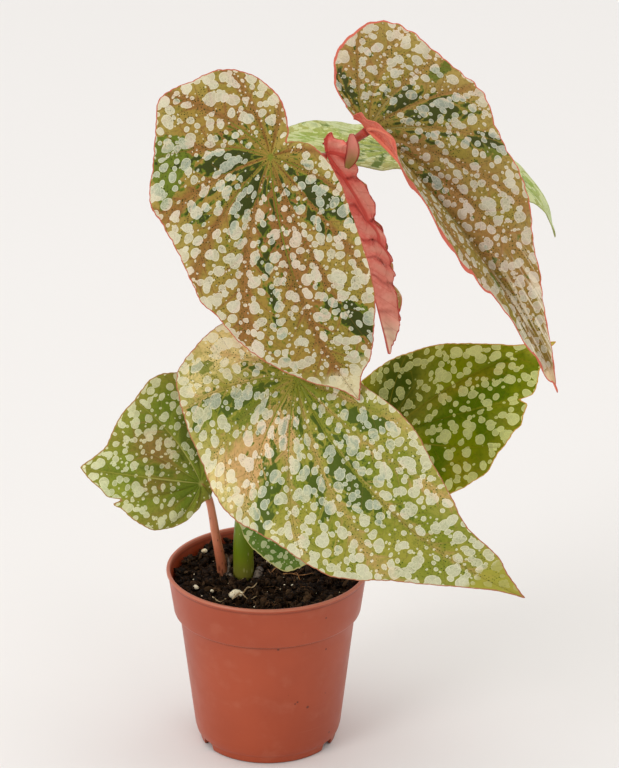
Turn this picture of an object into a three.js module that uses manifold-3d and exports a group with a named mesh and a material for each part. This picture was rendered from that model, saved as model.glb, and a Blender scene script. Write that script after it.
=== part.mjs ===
// Potted polka dot begonia: a cane begonia with eight leaves in a round nursery pot.
// Millimetres, +Z up, origin in the middle of the pot's foot. The front is seen from -Y.
import * as THREE from 'three';
import { mergeVertices } from 'three/addons/utils/BufferGeometryUtils.js';
import Module from 'manifold-3d';

const wasm = await Module();
wasm.setup();

// Driving dimensions
const GAP = 0.3; // air kept between two pieces that touch
const BLADE_THICKNESS = 0.8;
const RIB_DEPTH = 0.7; // how far a main vein stands out below the blade, at the junction
const VEIN_PULL = 0.3; // radians by which a vein leaves the junction wider than it ends
const VALLEY = 1; // rounding of the fold along the midrib
const VALLEY_BEHIND = 0.4; // how fast that rounding grows behind the junction
const BOW_FADE = 40; // distance behind the junction over which the sideways bow fades
const RIB_FADE = 0.8; // share of its depth that a main vein loses on its way to the edge
const QUILT_LEVEL = 0.6; // panel height that stays level with the junction

const RIM_RADIUS = 52.5;
const POT_HEIGHT = 97;
const POT_WALL = 1.3;
const COLLAR_FOOT = 73; // height at which the collar starts
const FOOT_RADIUS = 34.5;
const FOOT_HEIGHT = 5;
const FOOT_DISC_RADIUS = 13; // flat disc in the middle that stands on the table
const NOTCH_COUNT = 3;
const NOTCH_WIDTH = 10;
const DRAIN_COUNT = 6;
const DRAIN_RADIUS = 3.5;
const DRAIN_CIRCLE = 23;
const POT_SEGMENTS = 48;

const SOIL_LEVEL = 87;
const SOIL_ROUGHNESS = 1.1;
const SOIL_SEGMENTS = 30;
const MOUND_HEIGHT = 1.6; // where the filling rises round the stems
const MOUND_AT = [-15, 8];
const MOUND_SPREAD = 300;

const CANE_PATH = [[-12.8, 7.7, 58], [-12.5, 8, 87], [-12.4, 8, 112], [-8.5, 8, 150],
  [-3.5, 7, 195], [4.5, 8, 238], [15, 7, 274], [21.5, 6.2, 292], [26, 6, 309]];
const CANE_RADII = [5.6, 5.5, 4.9, 4.7, 4.5, 4.3, 3.9, 3.5, 2.8];
const CANE_NODES = [0.265, 0.35, 0.505, 0.69, 0.82, 0.9]; // share of the cane's length
const NODE_SWELLING = 0.9;
const NODE_LENGTH = 0.014;
const CANE_SIDES = 12;
const CANE_STEPS = 36;
const TIP_PATH = [[25, 6.6, 307], [22.6, 8.6, 312], [20.6, 10.4, 318]];
const TIP_RADII = [2.1, 1.9, 0.6];
const STALK_SIDES = 8;
const STALK_STEPS = 9;

const COLOURS = {
  pot: 0xb2573e, soil: 0x2a1c14, cane: 0x5f8f3a, scale: 0xb9a184,
  redStalk: 0xb4473c, shootStalk: 0xb0705a, greenStalk: 0x8a7a42,
  olive: 0x8a8348, brown: 0x8f7f4c, pale: 0xa9b06a, green: 0x5d7f34, bright: 0x9dbb62, pink: 0xd9707a,
};

// Each leaf: where its blade meets its stalk, where its tip is, which way its upper face looks,
// how far the midrib bends down over its length (droop, after a straight share) and to the side (bow).
// A fold is how steeply a half rises from the midrib: at the junction, along the blade and at the tip,
// in degrees, and over how many millimetres the first of them fades. Arch flattens a half outwards.
// The outline is [degrees round the junction from the tip, millimetres out]; veins end at those degrees.
const LEAVES = [
  {
    name: 'upper_left', colour: 'olive', stalkColour: 'redStalk', sectorRays: 4, rings: 6,
    junction: [3, -35, 332.5], tip: [46.6, -58, 214.3], face: [-0.1, -0.8, 0.45],
    droop: 35, straight: 0, foldLeft: [8, 8, 8, 60], foldRight: [8, 8, 8, 60], arch: [4, 4], bow: 9,
    wave: [1.3, 9, 0.5], quilt: 1.5, veins: [0, 22, 48, 78, 108, 138, 170, 205, 285, 312, 333, 349],
    outline: [[0, 130], [2, 121], [8, 111], [16, 99], [24, 88], [32, 77], [40, 72], [48, 65], [60, 59],
      [75, 58], [90, 62], [105, 60], [121, 61], [135, 64], [150, 56], [166, 50], [180, 42], [193, 33],
      [206, 25], [220, 17], [236, 12], [244, 10], [254, 12], [270, 19], [287, 28], [302, 38], [316, 51],
      [327, 68], [336, 85], [344, 98], [351, 111], [356, 118], [360, 130]],
    stalk: [[13, 7.2, 268], [9, -8, 290], [5, -25, 314], [3, -35, 332.5]], stalkRadii: [2.6, 2.1, 2],
  },
  {
    name: 'upper_right', colour: 'brown', stalkColour: 'redStalk', sectorRays: 4, rings: 6,
    junction: [51, 0, 335], tip: [146, -20, 203], face: [0.75, -0.75, 0.25],
    droop: 25, straight: 0.1, foldLeft: [66, 50, 18, 32], foldRight: [30, 38, 38, 60], arch: [2, 3], bow: -4,
    wave: [1.2, 10, 1.2], quilt: 1.6, veins: [0, 13, 36, 75, 200, 222, 244, 268, 292, 318, 337, 350],
    outline: [[0, 166], [2, 150], [5, 126], [8, 108], [13, 94], [20, 79], [27, 64], [37, 53], [48, 50],
      [62, 50], [78, 42], [96, 30], [115, 21], [135, 14], [155, 10], [169, 9], [180, 17], [188, 26],
      [198, 35], [206, 44], [216, 50], [227, 57], [238, 59], [251, 56], [264, 53], [280, 54], [295, 59],
      [309, 61], [319, 66], [328, 76], [337, 87], [345, 98], [350, 112], [354, 125], [357, 143], [360, 166]],
    stalk: [[22, 6.2, 294], [30.5, 9, 308], [41, 7.5, 324], [51, 0, 335]], stalkRadii: [2.3, 2.1, 2],
  },
  {
    name: 'front', colour: 'pale', stalkColour: 'redStalk', sectorRays: 4, rings: 6,
    junction: [15.5, -45, 221], tip: [128, -92, 123.2], face: [-0.1, -0.8, 0.55],
    droop: 30, straight: 0, foldLeft: [8, 8, 8, 60], foldRight: [8, 8, 8, 60], arch: [4, 4], bow: 16,
    wave: [1.3, 9, 2.1], quilt: 1.5, veins: [0, 14, 36, 62, 90, 118, 146, 178, 282, 312, 330, 346],
    outline: [[0, 158], [1, 146], [4, 132], [8, 120], [14, 107], [21, 99], [28, 92], [36, 82], [44, 74],
      [55, 69], [68, 68], [80, 66], [92, 64], [106, 64], [122, 64], [136, 64], [150, 56], [166, 49],
      [181, 42], [196, 30], [210, 15], [230, 7], [250, 6], [262, 11], [280, 20], [300, 29], [315, 42],
      [323, 59], [330, 72], [338, 84], [346, 101], [351, 114], [354, 133], [357, 144], [360, 158]],
    stalk: [[-4, 7.2, 190], [1, -10, 200], [9, -30, 211], [15.5, -45, 221]], stalkRadii: [2.7, 2.3, 2.1],
  },
  {
    name: 'small_left', colour: 'green', stalkColour: 'shootStalk', sectorRays: 3, rings: 5,
    junction: [-34, 0, 144], tip: [-94, -28, 165], face: [-0.3, -0.8, 0.3],
    droop: 25, straight: 0, foldLeft: [8, 8, 8, 60], foldRight: [8, 8, 8, 60], arch: [4, 4], bow: 0,
    wave: [1, 8, 0.4], quilt: 1.1, veins: [0, 18, 38, 58, 82, 210, 275, 300, 325, 344.2],
    outline: [[0, 70], [3, 68], [7, 64], [14, 61], [25, 62], [38, 63], [50, 66.5], [60, 64], [67, 58],
      [73, 51], [80, 42], [90, 30], [105, 20], [125, 12], [150, 7], [165, 6], [185, 8], [215, 11],
      [245, 10], [265, 13], [276, 15], [285, 19.5], [293, 24], [300, 28], [307, 32], [315, 37],
      [326, 42], [338, 47.5], [340.5, 50], [342.4, 51.8], [344.2, 47.3], [346.2, 53.2], [347.4, 55],
      [350, 57], [355, 63.5], [360, 70]],
    stalk: [[-22, 9, 60], [-23.3, 9.6, 87], [-27, 8, 112], [-30.3, 5.5, 133], [-34, 0, 144]],
    stalkRadii: [3.4, 3, 2.5, 2.1, 2],
  },
  {
    name: 'right', colour: 'green', stalkColour: 'greenStalk', sectorRays: 4, rings: 5,
    junction: [61.5, 40, 153], tip: [149.5, 30, 210.7], face: [-0.1, -0.8, 0.4],
    droop: 20, straight: 0, foldLeft: [8, 8, 8, 60], foldRight: [8, 8, 8, 60], arch: [4, 4], bow: -6,
    wave: [1.2, 9, 1.7], quilt: 1.3, veins: [0, 16.6, 36, 56, 78, 235, 266, 296, 322, 342],
    outline: [[0, 106], [2, 101], [7.4, 92.5], [12.6, 88.5], [15.4, 85], [16.6, 79], [18.4, 82],
      [21.6, 80], [26.5, 78], [29.4, 74.5], [36, 70.5], [38.5, 68], [43, 66.5], [47.5, 65], [53.6, 60],
      [62, 54], [71, 48], [80, 42], [90, 34], [102, 26], [115, 19], [137, 12], [165, 8],
      [190, 6], [214, 8], [237, 16], [256, 27], [274, 30], [294, 33], [310, 38], [326, 46], [334, 53],
      [343, 62], [350, 72], [354, 80], [357, 88], [360, 106]],
    stalk: [[-8.8, 8, 150], [12, 20, 148], [40, 36, 147], [61.5, 40, 153]], stalkRadii: [2.6, 2.2, 2],
  },
  {
    name: 'back', colour: 'bright', stalkColour: 'greenStalk', sectorRays: 4, rings: 5,
    junction: [68, 60, 304.5], tip: [148, 55, 258.3], face: [0.3, -0.1, 1],
    droop: 75, straight: 0.35, foldLeft: [5, 5, 5, 60], foldRight: [5, 5, 5, 60], arch: [5, 5], bow: 0,
    wave: [1.2, 9, 0.9], quilt: 1.2, veins: [0, 18, 48, 90, 126, 156, 190, 218, 275, 312, 340],
    outline: [[0, 102], [3, 94], [7, 84], [10, 77], [19, 70], [29, 62], [41, 51], [53, 40], [71, 33],
      [85, 28], [98, 29], [113, 33], [125, 39], [137, 47], [149, 57], [163, 63], [179, 64], [192, 60],
      [203, 50], [216, 43], [228, 37], [238, 30], [246, 22], [254, 26], [264, 34], [282, 37], [302, 39],
      [320, 43], [332, 50], [340, 60], [346, 73], [351, 85], [355, 91], [358, 96], [360, 102]],
    stalk: [[19, 6.5, 286], [28, 30, 300], [47, 48, 302], [68, 60, 304.5]], stalkRadii: [2.3, 2, 1.8],
  },
  {
    name: 'young', colour: 'pink', stalkColour: 'redStalk', sectorRays: 4, rings: 5,
    junction: [31, 0, 323], tip: [61.6, -5, 218.8], face: [0.95, -0.15, 0.2],
    droop: 10, straight: 0, foldLeft: [74, 76, 70, 60], foldRight: [74, 76, 70, 60], arch: [1, 1], bow: 0,
    wave: [1.6, 14, 0.3], quilt: 0.8, veins: [0, 8, 15, 21, 32, 70, 142, 235, 300, 326, 338, 345, 352],
    outline: [[0, 109], [3, 105], [5, 100], [7, 94], [8, 88], [9, 82], [10, 76], [12, 70], [15, 64],
      [18, 57], [19, 51], [20, 45], [23, 39], [27, 34], [31, 28], [36, 23], [48, 18], [66, 15.5], [92, 15],
      [112, 13], [127, 14], [142, 11], [158, 8], [180, 5], [200, 5], [218, 7], [233, 9], [250, 9],
      [270, 9], [295, 10], [312, 14], [325, 19], [332, 26], [338, 33], [343, 42], [345, 50], [347, 58],
      [349, 67], [351, 75], [353, 83], [355, 91], [357, 98], [358.5, 104], [360, 109]],
    stalk: [[25, 6.2, 304], [27.2, 2.8, 309], [29, 0.8, 315], [29.6, 0.2, 320.5]], stalkRadii: [1.7, 1.6, 1.5],
  },
  {
    name: 'low', colour: 'green', stalkColour: 'greenStalk', sectorRays: 3, rings: 4,
    junction: [4, -15, 148], tip: [35, -38, 120], face: [-0.3, -0.8, 0.4],
    droop: 25, straight: 0, foldLeft: [8, 8, 8, 60], foldRight: [8, 8, 8, 60], arch: [4, 4], bow: 0,
    wave: [0.8, 7, 1.1], quilt: 0.8, veins: [0, 26, 54, 88, 130, 318, 340],
    outline: [[0, 48], [3, 45], [14, 43], [25, 43], [34, 43], [44, 38], [55, 34], [70, 30], [85, 26],
      [100, 24], [118, 21], [140, 16], [165, 11], [200, 7], [240, 6], [285, 7], [301, 10], [317, 16],
      [329, 22], [342, 29], [352, 35], [357, 42], [360, 48]],
    stalk: [[-11, 7.8, 127], [-7, 0, 134], [-1.5, -8, 140], [4, -15, 148]], stalkRadii: [1.9, 1.6, 1.5],
  },
];

// Solids in and out of the boolean library

function bare(geometry) {
  geometry.deleteAttribute('normal');
  geometry.deleteAttribute('uv');
  return mergeVertices(geometry, 1e-4);
}

function signedVolume(geometry) {
  const { array } = geometry.attributes.position;
  const index = geometry.index.array;
  const [a, b, c] = [new THREE.Vector3(), new THREE.Vector3(), new THREE.Vector3()];
  let total = 0;
  for (let i = 0; i < index.length; i += 3) {
    a.fromArray(array, 3 * index[i]);
    b.fromArray(array, 3 * index[i + 1]);
    c.fromArray(array, 3 * index[i + 2]);
    total += a.dot(b.cross(c)) / 6;
  }
  return total;
}

function solid(geometry) {
  const merged = bare(geometry);
  const triangles = Uint32Array.from(merged.index.array);
  if (signedVolume(merged) < 0) triangles.reverse();
  const vertices = Float32Array.from(merged.attributes.position.array);
  return new wasm.Manifold(new wasm.Mesh({ numProp: 3, vertProperties: vertices, triVerts: triangles }));
}

function largest(body) {
  return body.decompose().reduce((best, part) => (part.volume() > best.volume() ? part : best));
}

function geometryOf(body) {
  const mesh = body.getMesh();
  const geometry = new THREE.BufferGeometry();
  geometry.setAttribute('position', new THREE.BufferAttribute(mesh.vertProperties, 3));
  geometry.setIndex(new THREE.BufferAttribute(mesh.triVerts, 1));
  return geometry;
}

// Turned and swept forms

function turned(profile, segments) {
  const points = profile.map(([r, z]) => new THREE.Vector2(r, z));
  return new THREE.LatheGeometry(points, segments).rotateX(Math.PI / 2);
}

function lerpList(values, share) {
  const at = share * (values.length - 1);
  const low = Math.min(Math.floor(at), values.length - 2);
  return THREE.MathUtils.lerp(values[low], values[low + 1], at - low);
}

function sweep(path, radiusAt, sides, steps) {
  const curve = new THREE.CatmullRomCurve3(path.map((p) => new THREE.Vector3(...p)), false, 'centripetal');
  const frames = curve.computeFrenetFrames(steps, false);
  const positions = [];
  const index = [];
  for (let i = 0; i <= steps; i += 1) {
    const centre = curve.getPointAt(i / steps);
    for (let k = 0; k < sides; k += 1) {
      const turn = (2 * Math.PI * k) / sides;
      const out = frames.normals[i].clone().multiplyScalar(Math.cos(turn));
      out.addScaledVector(frames.binormals[i], Math.sin(turn));
      positions.push(...centre.clone().addScaledVector(out, radiusAt(i / steps)).toArray());
    }
  }
  for (let i = 0; i < steps; i += 1) {
    for (let k = 0; k < sides; k += 1) {
      const [a, b] = [i * sides + k, i * sides + ((k + 1) % sides)];
      index.push(a, b, b + sides, a, b + sides, a + sides);
    }
  }
  for (const [ring, at] of [[0, 0], [steps, 1]]) {
    const hub = positions.length / 3;
    positions.push(...curve.getPointAt(at).toArray());
    for (let k = 0; k < sides; k += 1) {
      const [a, b] = [ring * sides + k, ring * sides + ((k + 1) % sides)];
      index.push(...(at === 0 ? [hub, b, a] : [hub, a, b]));
    }
  }
  const geometry = new THREE.BufferGeometry();
  geometry.setAttribute('position', new THREE.Float32BufferAttribute(positions, 3));
  geometry.setIndex(index);
  return geometry;
}

// The pot and its filling

function potProfile() {
  const [rim, foot] = [RIM_RADIUS, FOOT_RADIUS];
  const disc = FOOT_DISC_RADIUS;
  return [
    [0, 0], [disc, 0], [disc + 1, FOOT_HEIGHT], [foot - 2, FOOT_HEIGHT], [foot - 1.6, 0], [foot, 0],
    [foot + 0.4, 3.5], [foot + 1.8, 5.6], [foot + 2.6, 9],
    [44.6, COLLAR_FOOT - 0.6], [45.3, COLLAR_FOOT], [46.9, COLLAR_FOOT + 0.3], [47.6, COLLAR_FOOT + 1.4],
    [rim - 1.3, POT_HEIGHT - 3.4], [rim - 0.3, POT_HEIGHT - 2.6], [rim, POT_HEIGHT - 1.4],
    [rim - 0.3, POT_HEIGHT - 0.4], [rim - 1.1, POT_HEIGHT], [rim - 2, POT_HEIGHT - 0.5],
    [rim - 2.6, POT_HEIGHT - 3.2], [46, COLLAR_FOOT + 1.6], [43.4, COLLAR_FOOT - 0.4],
    [foot + 1.4, 9.4], [foot - 0.4, FOOT_HEIGHT + POT_WALL],
    [disc + POT_WALL, FOOT_HEIGHT + POT_WALL], [disc - 0.2, POT_WALL], [0, POT_WALL],
  ];
}

function notch(turn) {
  const outline = new THREE.Shape();
  const half = NOTCH_WIDTH / 2;
  outline.moveTo(-half, -1);
  outline.lineTo(half, -1);
  outline.lineTo(half - 1.5, FOOT_HEIGHT - 0.4);
  outline.lineTo(-half + 1.5, FOOT_HEIGHT - 0.4);
  const cutter = new THREE.ExtrudeGeometry(outline, { depth: 8, bevelEnabled: false });
  return cutter.rotateX(Math.PI / 2).translate(0, -FOOT_RADIUS + 5, 0).rotateZ(turn);
}

function drain(turn) {
  const cutter = new THREE.CylinderGeometry(DRAIN_RADIUS, DRAIN_RADIUS, 8, 16).rotateX(Math.PI / 2);
  return cutter.translate(0, DRAIN_CIRCLE, FOOT_HEIGHT).rotateZ(turn);
}

function pot() {
  let body = solid(turned(potProfile(), POT_SEGMENTS));
  for (let i = 0; i < NOTCH_COUNT; i += 1) {
    body = body.subtract(solid(notch(((i + 0.5) * 2 * Math.PI) / NOTCH_COUNT)));
  }
  for (let i = 0; i < DRAIN_COUNT; i += 1) {
    body = body.subtract(solid(drain((i * 2 * Math.PI) / DRAIN_COUNT)));
  }
  return body;
}

function soilBump(x, y) {
  const broad = Math.sin(0.21 * x + 1.3) * Math.cos(0.19 * y - 0.4);
  const fine = Math.sin(0.47 * x - 0.36 * y + 0.8);
  const away = (x - MOUND_AT[0]) ** 2 + (y - MOUND_AT[1]) ** 2;
  const mound = MOUND_HEIGHT * Math.exp(-away / MOUND_SPREAD);
  return SOIL_ROUGHNESS * (0.7 * broad + 0.4 * fine) + mound;
}

function soil(stems) {
  const foot = FOOT_RADIUS;
  const floor = FOOT_HEIGHT + POT_WALL + GAP;
  const top = [40, 31, 22, 12].map((r) => [r, SOIL_LEVEL]);
  const geometry = bare(turned([
    [0, POT_WALL + GAP], [FOOT_DISC_RADIUS - 0.6, POT_WALL + GAP], [FOOT_DISC_RADIUS + 0.8, floor],
    [foot - 1, floor], [foot + 1, 9.6], [42.9, COLLAR_FOOT - 0.3], [45.5, COLLAR_FOOT + 1.8],
    [48.1, SOIL_LEVEL - 1], ...top, [0, SOIL_LEVEL],
  ], SOIL_SEGMENTS));
  const { position } = geometry.attributes;
  for (let i = 0; i < position.count; i += 1) {
    if (position.getZ(i) > SOIL_LEVEL - 2) {
      position.setZ(i, position.getZ(i) + soilBump(position.getX(i), position.getY(i)));
    }
  }
  return stems.reduce((body, stem) => body.subtract(stem), solid(geometry));
}

// The cane and its growing tip

function caneRadius(extra) {
  return (share) => CANE_NODES.reduce(
    (radius, node) => radius + NODE_SWELLING * Math.exp(-(((share - node) / NODE_LENGTH) ** 2)),
    lerpList(CANE_RADII, share) + extra,
  );
}

function cane(extra = 0) {
  return solid(sweep(CANE_PATH, caneRadius(extra), CANE_SIDES, CANE_STEPS));
}

function caneTip() {
  return solid(sweep(TIP_PATH, (share) => lerpList(TIP_RADII, share), STALK_SIDES, 6));
}

function stalk(leaf, extra = 0) {
  const radiusAt = (share) => lerpList(leaf.stalkRadii, share) + extra;
  return solid(sweep(leaf.stalk, radiusAt, STALK_SIDES, STALK_STEPS));
}

// Leaf blades

function leafFrame(leaf) {
  const start = new THREE.Vector3(...leaf.junction);
  const chord = new THREE.Vector3(...leaf.tip).sub(start);
  const length = chord.length();
  const along = chord.clone().normalize();
  const up = new THREE.Vector3(...leaf.face);
  up.addScaledVector(along, -up.dot(along)).normalize();
  const turn = THREE.MathUtils.degToRad(leaf.droop);
  const bent = 1 - leaf.straight;
  const forward = leaf.straight + (bent * Math.sin(turn)) / turn;
  const down = (bent * (1 - Math.cos(turn))) / turn;
  const arc = length / Math.hypot(forward, down);
  const lean = Math.atan2(down, forward);
  const t = along.clone().multiplyScalar(Math.cos(lean)).addScaledVector(up, Math.sin(lean));
  const n = up.clone().multiplyScalar(Math.cos(lean)).addScaledVector(along, -Math.sin(lean));
  const x = t.clone().cross(n);
  return { start, t, n, x, arc, bendFrom: leaf.straight * arc, bend: turn / (bent * arc) };
}

function foldAt([base, rest, end, reach], y, arc) {
  const ahead = Math.max(y, 0);
  const angle = rest + ((end - rest) * ahead) / arc + (base - rest) * Math.exp(-((ahead / reach) ** 2));
  return THREE.MathUtils.degToRad(angle);
}

function bowAt(leaf, y, arc) {
  const share = y / arc;
  return leaf.bow * 4 * share * (y > 0 ? 1 - share : Math.exp(y / BOW_FADE));
}

function bladePoint(leaf, frame, x, y, lift) {
  const left = x >= 0;
  const fold = foldAt(left ? leaf.foldLeft : leaf.foldRight, y, frame.arc);
  const flatten = leaf.arch[left ? 0 : 1] / 1000;
  const soft = VALLEY + VALLEY_BEHIND * Math.max(-y, 0);
  const out = Math.hypot(x, soft) - soft;
  const drop = 0.5 * flatten * out * out;
  const tilt = x / Math.hypot(x, soft);
  const across = x * Math.cos(fold) + ((left ? 1 : -1) * drop - tilt * lift) * Math.sin(fold)
    + bowAt(leaf, y, frame.arc);
  const rise = out * Math.sin(fold) + (lift - drop) * Math.cos(fold);
  const turn = frame.bend * Math.max(y - frame.bendFrom, 0);
  const forward = Math.min(y, frame.bendFrom) + Math.sin(turn) / frame.bend + rise * Math.sin(turn);
  const up = rise * Math.cos(turn) - (1 - Math.cos(turn)) / frame.bend;
  return frame.start.clone().addScaledVector(frame.x, across)
    .addScaledVector(frame.t, forward).addScaledVector(frame.n, up);
}

function outlineRadius(outline, angle) {
  const last = outline.length - 2;
  let i = 0;
  while (i < last && outline[i + 1][0] < angle) i += 1;
  const slope = (a, b) => (outline[b][1] - outline[a][1]) / (outline[b][0] - outline[a][0]);
  const [[a0, r0], [a1, r1]] = [outline[i], outline[i + 1]];
  const width = a1 - a0;
  const m0 = (i > 0 ? slope(i - 1, i + 1) : slope(i, i + 1)) * width;
  const m1 = (i < last ? slope(i, i + 2) : slope(i, i + 1)) * width;
  const u = (angle - a0) / width;
  const start = (2 * u ** 3 - 3 * u ** 2 + 1) * r0 + (u ** 3 - 2 * u ** 2 + u) * m0;
  return start + (3 * u ** 2 - 2 * u ** 3) * r1 + (u ** 3 - u ** 2) * m1;
}

// Angles between two veins, at equal steps along the outline
function sectorAngles(outline, from, to, count) {
  const fine = 24;
  const rim = Array.from({ length: fine + 1 }, (_, k) => {
    const angle = from + ((to - from) * k) / fine;
    const turn = THREE.MathUtils.degToRad(angle);
    const radius = outlineRadius(outline, angle);
    return { angle, x: radius * Math.sin(turn), y: radius * Math.cos(turn), run: 0 };
  });
  for (let k = 1; k <= fine; k += 1) {
    rim[k].run = rim[k - 1].run + Math.hypot(rim[k].x - rim[k - 1].x, rim[k].y - rim[k - 1].y);
  }
  return Array.from({ length: count }, (_, j) => {
    const target = (rim[fine].run * j) / count;
    const k = Math.max(1, rim.findIndex((p) => p.run >= target));
    const share = (target - rim[k - 1].run) / (rim[k].run - rim[k - 1].run);
    return THREE.MathUtils.lerp(rim[k - 1].angle, rim[k].angle, share);
  });
}

function rays(leaf) {
  return leaf.veins.flatMap((from, i) => {
    const to = leaf.veins[i + 1] ?? 360;
    const angles = sectorAngles(leaf.outline, from, to, leaf.sectorRays);
    return angles.map((angle, j) => ({ angle, panel: Math.sin((Math.PI * j) / leaf.sectorRays) }));
  });
}

function bladeLift(leaf, ray, share) {
  const [height, count, phase] = leaf.wave;
  const wave = height * share ** 3 * Math.sin(count * THREE.MathUtils.degToRad(ray.angle) + phase);
  return wave + leaf.quilt * (ray.panel - QUILT_LEVEL) * 4 * share * (1 - share);
}

function middleSurface(leaf, extra) {
  const frame = leafFrame(leaf);
  const lines = rays(leaf);
  const points = [bladePoint(leaf, frame, 0, 0, 0)];
  const ribs = [1];
  for (const ray of lines) {
    const turn = THREE.MathUtils.degToRad(ray.angle);
    const radius = outlineRadius(leaf.outline, ray.angle) + 2 * extra;
    for (let j = 1; j <= leaf.rings; j += 1) {
      const share = j / leaf.rings;
      const bent = turn + VEIN_PULL * Math.sin(turn) * (1 - share);
      const [x, y] = [radius * share * Math.sin(bent), radius * share * Math.cos(bent)];
      points.push(bladePoint(leaf, frame, x, y, bladeLift(leaf, ray, share)));
      ribs.push(ray.panel < 0.01 ? 1 - RIB_FADE * share : 0);
    }
  }
  return { points, ribs, rayCount: lines.length };
}

function bladeFaces(rayCount, rings) {
  const faces = [];
  const at = (ray, ring) => 1 + (ray % rayCount) * rings + ring;
  for (let i = 0; i < rayCount; i += 1) {
    faces.push([0, at(i + 1, 0), at(i, 0)]);
    for (let j = 0; j < rings - 1; j += 1) {
      faces.push([at(i, j), at(i + 1, j), at(i + 1, j + 1)]);
      faces.push([at(i, j), at(i + 1, j + 1), at(i, j + 1)]);
    }
  }
  return faces;
}

function blade(leaf, extra = 0) {
  const { points, ribs, rayCount } = middleSurface(leaf, extra);
  const faces = bladeFaces(rayCount, leaf.rings);
  const middle = new THREE.BufferGeometry().setFromPoints(points);
  middle.setIndex(faces.flat());
  middle.computeVertexNormals();
  const half = BLADE_THICKNESS / 2 + extra;
  const normal = new THREE.Vector3();
  const [upper, lower] = [[], []];
  points.forEach((point, i) => {
    normal.fromBufferAttribute(middle.attributes.normal, i);
    upper.push(point.clone().addScaledVector(normal, half));
    lower.push(point.clone().addScaledVector(normal, -half - RIB_DEPTH * ribs[i]));
  });
  const below = points.length;
  const index = faces.flatMap(([a, b, c]) => [a, b, c, below + a, below + c, below + b]);
  const edge = (ray) => 1 + (ray % rayCount) * leaf.rings + leaf.rings - 1;
  for (let i = 0; i < rayCount; i += 1) {
    const [a, b] = [edge(i), edge(i + 1)];
    index.push(a, b, below + b, a, below + b, below + a);
  }
  const shell = new THREE.BufferGeometry().setFromPoints([...upper, ...lower]);
  shell.setIndex(index);
  return solid(shell);
}

// The whole plant

const plant = new THREE.Group();

function add(name, body, colour, roughness = 0.6) {
  const material = new THREE.MeshStandardMaterial({ color: COLOURS[colour], roughness, metalness: 0 });
  const mesh = new THREE.Mesh(geometryOf(body), material);
  mesh.name = name;
  plant.add(mesh);
}

const caneRoom = cane(GAP);
const shoot = LEAVES.find((leaf) => leaf.name === 'small_left');

add('pot', pot(), 'pot', 0.55);
add('soil', soil([caneRoom, stalk(shoot, GAP)]), 'soil', 0.95);
add('cane', cane(), 'cane', 0.5);
add('cane_tip', largest(caneTip().subtract(caneRoom)), 'scale', 0.7);
for (const leaf of LEAVES) {
  const room = blade(leaf, GAP);
  add(`stalk_${leaf.name}`, largest(stalk(leaf).subtract(caneRoom).subtract(room)), leaf.stalkColour, 0.5);
  add(`leaf_${leaf.name}`, blade(leaf), leaf.colour, 0.45);
}

export default plant;
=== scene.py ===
"""Potted polka dot begonia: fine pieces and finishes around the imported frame.

Sizes are in millimetres and become metres where a mesh is made. +Z is up, the front is -Y.
"""
import functools
import math
from types import SimpleNamespace

import bmesh
import bpy
import numpy as np
from mathutils import Matrix, Vector

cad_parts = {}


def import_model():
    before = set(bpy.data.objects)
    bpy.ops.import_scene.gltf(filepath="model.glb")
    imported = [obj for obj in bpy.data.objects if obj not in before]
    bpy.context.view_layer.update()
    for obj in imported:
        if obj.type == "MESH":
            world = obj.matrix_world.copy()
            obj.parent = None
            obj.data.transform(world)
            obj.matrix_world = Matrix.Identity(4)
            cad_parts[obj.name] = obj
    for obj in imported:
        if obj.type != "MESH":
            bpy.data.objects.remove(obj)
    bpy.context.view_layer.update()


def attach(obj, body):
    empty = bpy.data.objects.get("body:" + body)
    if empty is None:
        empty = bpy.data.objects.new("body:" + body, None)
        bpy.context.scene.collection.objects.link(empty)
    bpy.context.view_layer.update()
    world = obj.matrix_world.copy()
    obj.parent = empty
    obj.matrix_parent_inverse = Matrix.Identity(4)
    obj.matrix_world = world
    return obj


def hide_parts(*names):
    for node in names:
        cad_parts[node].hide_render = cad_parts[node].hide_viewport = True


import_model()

MM = 0.001
TURN = 2 * math.pi
FAR = 1e9

# Camera of the photograph
CAMERA_PLACE = (21.936, -1629.479, 867.55)
CAMERA_PITCH = 22.3  # degrees below level
CAMERA_LENS = 162.32
CAMERA_SENSOR = 36

# Pot
RIM_RADIUS = 52.5
COLLAR_RADIUS = 47.5
BODY_RADIUS = 44.5
POT_FULLNESS = 1.3  # how much further out its body, collar and foot are than the base solid's
POT_HEIGHT = 97
POT_WALL = 1.3
COLLAR_FOOT = 73
FOOT_RADIUS = 34.5
FOOT_HEIGHT = 5
FOOT_DISC_RADIUS = 13
NOTCH_COUNT = 3
NOTCH_WIDTH = 10
DRAIN_COUNT = 6
DRAIN_RADIUS = 3.5
DRAIN_CIRCLE = 23
POT_SEGMENTS = 216
POT_STEP = 6  # longest stretch of its profile
SHARP_ANGLE = 38
POT_SPECKS = [  # x, y, z and radius
    (20.9, -35.5, 33.2, 1.1), (15.7, -38.6, 37.7, 0.8), (14.5, -39, 36.8, 0.7), (6, -45.5, 71.2, 0.9),
    (30.4, -33.2, 65.5, 0.8), (30.4, -40.3, 86.8, 0.8), (32.1, -21.4, 11.1, 0.9), (45, -4, 66, 1),
    (44.6, -5.5, 63, 0.9), (43.9, -6.1, 58.9, 1.1), (43.4, -7.3, 56, 0.9), (42.8, -8.6, 53.8, 1),
]
# Heights at which a stripe round the pot starts, is full, fades and ends: a painted highlight along the
# collar's edge, painted shade under the collar and painted shade under the lip
COLLAR_HIGHLIGHT = (72.6, 73, 73.4, 73.9)
BELOW_COLLAR = (70.8, 72.4, 72.7, 73.2)
BELOW_LIP = (93.4, 94, 94.4, 94.9)

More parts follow.
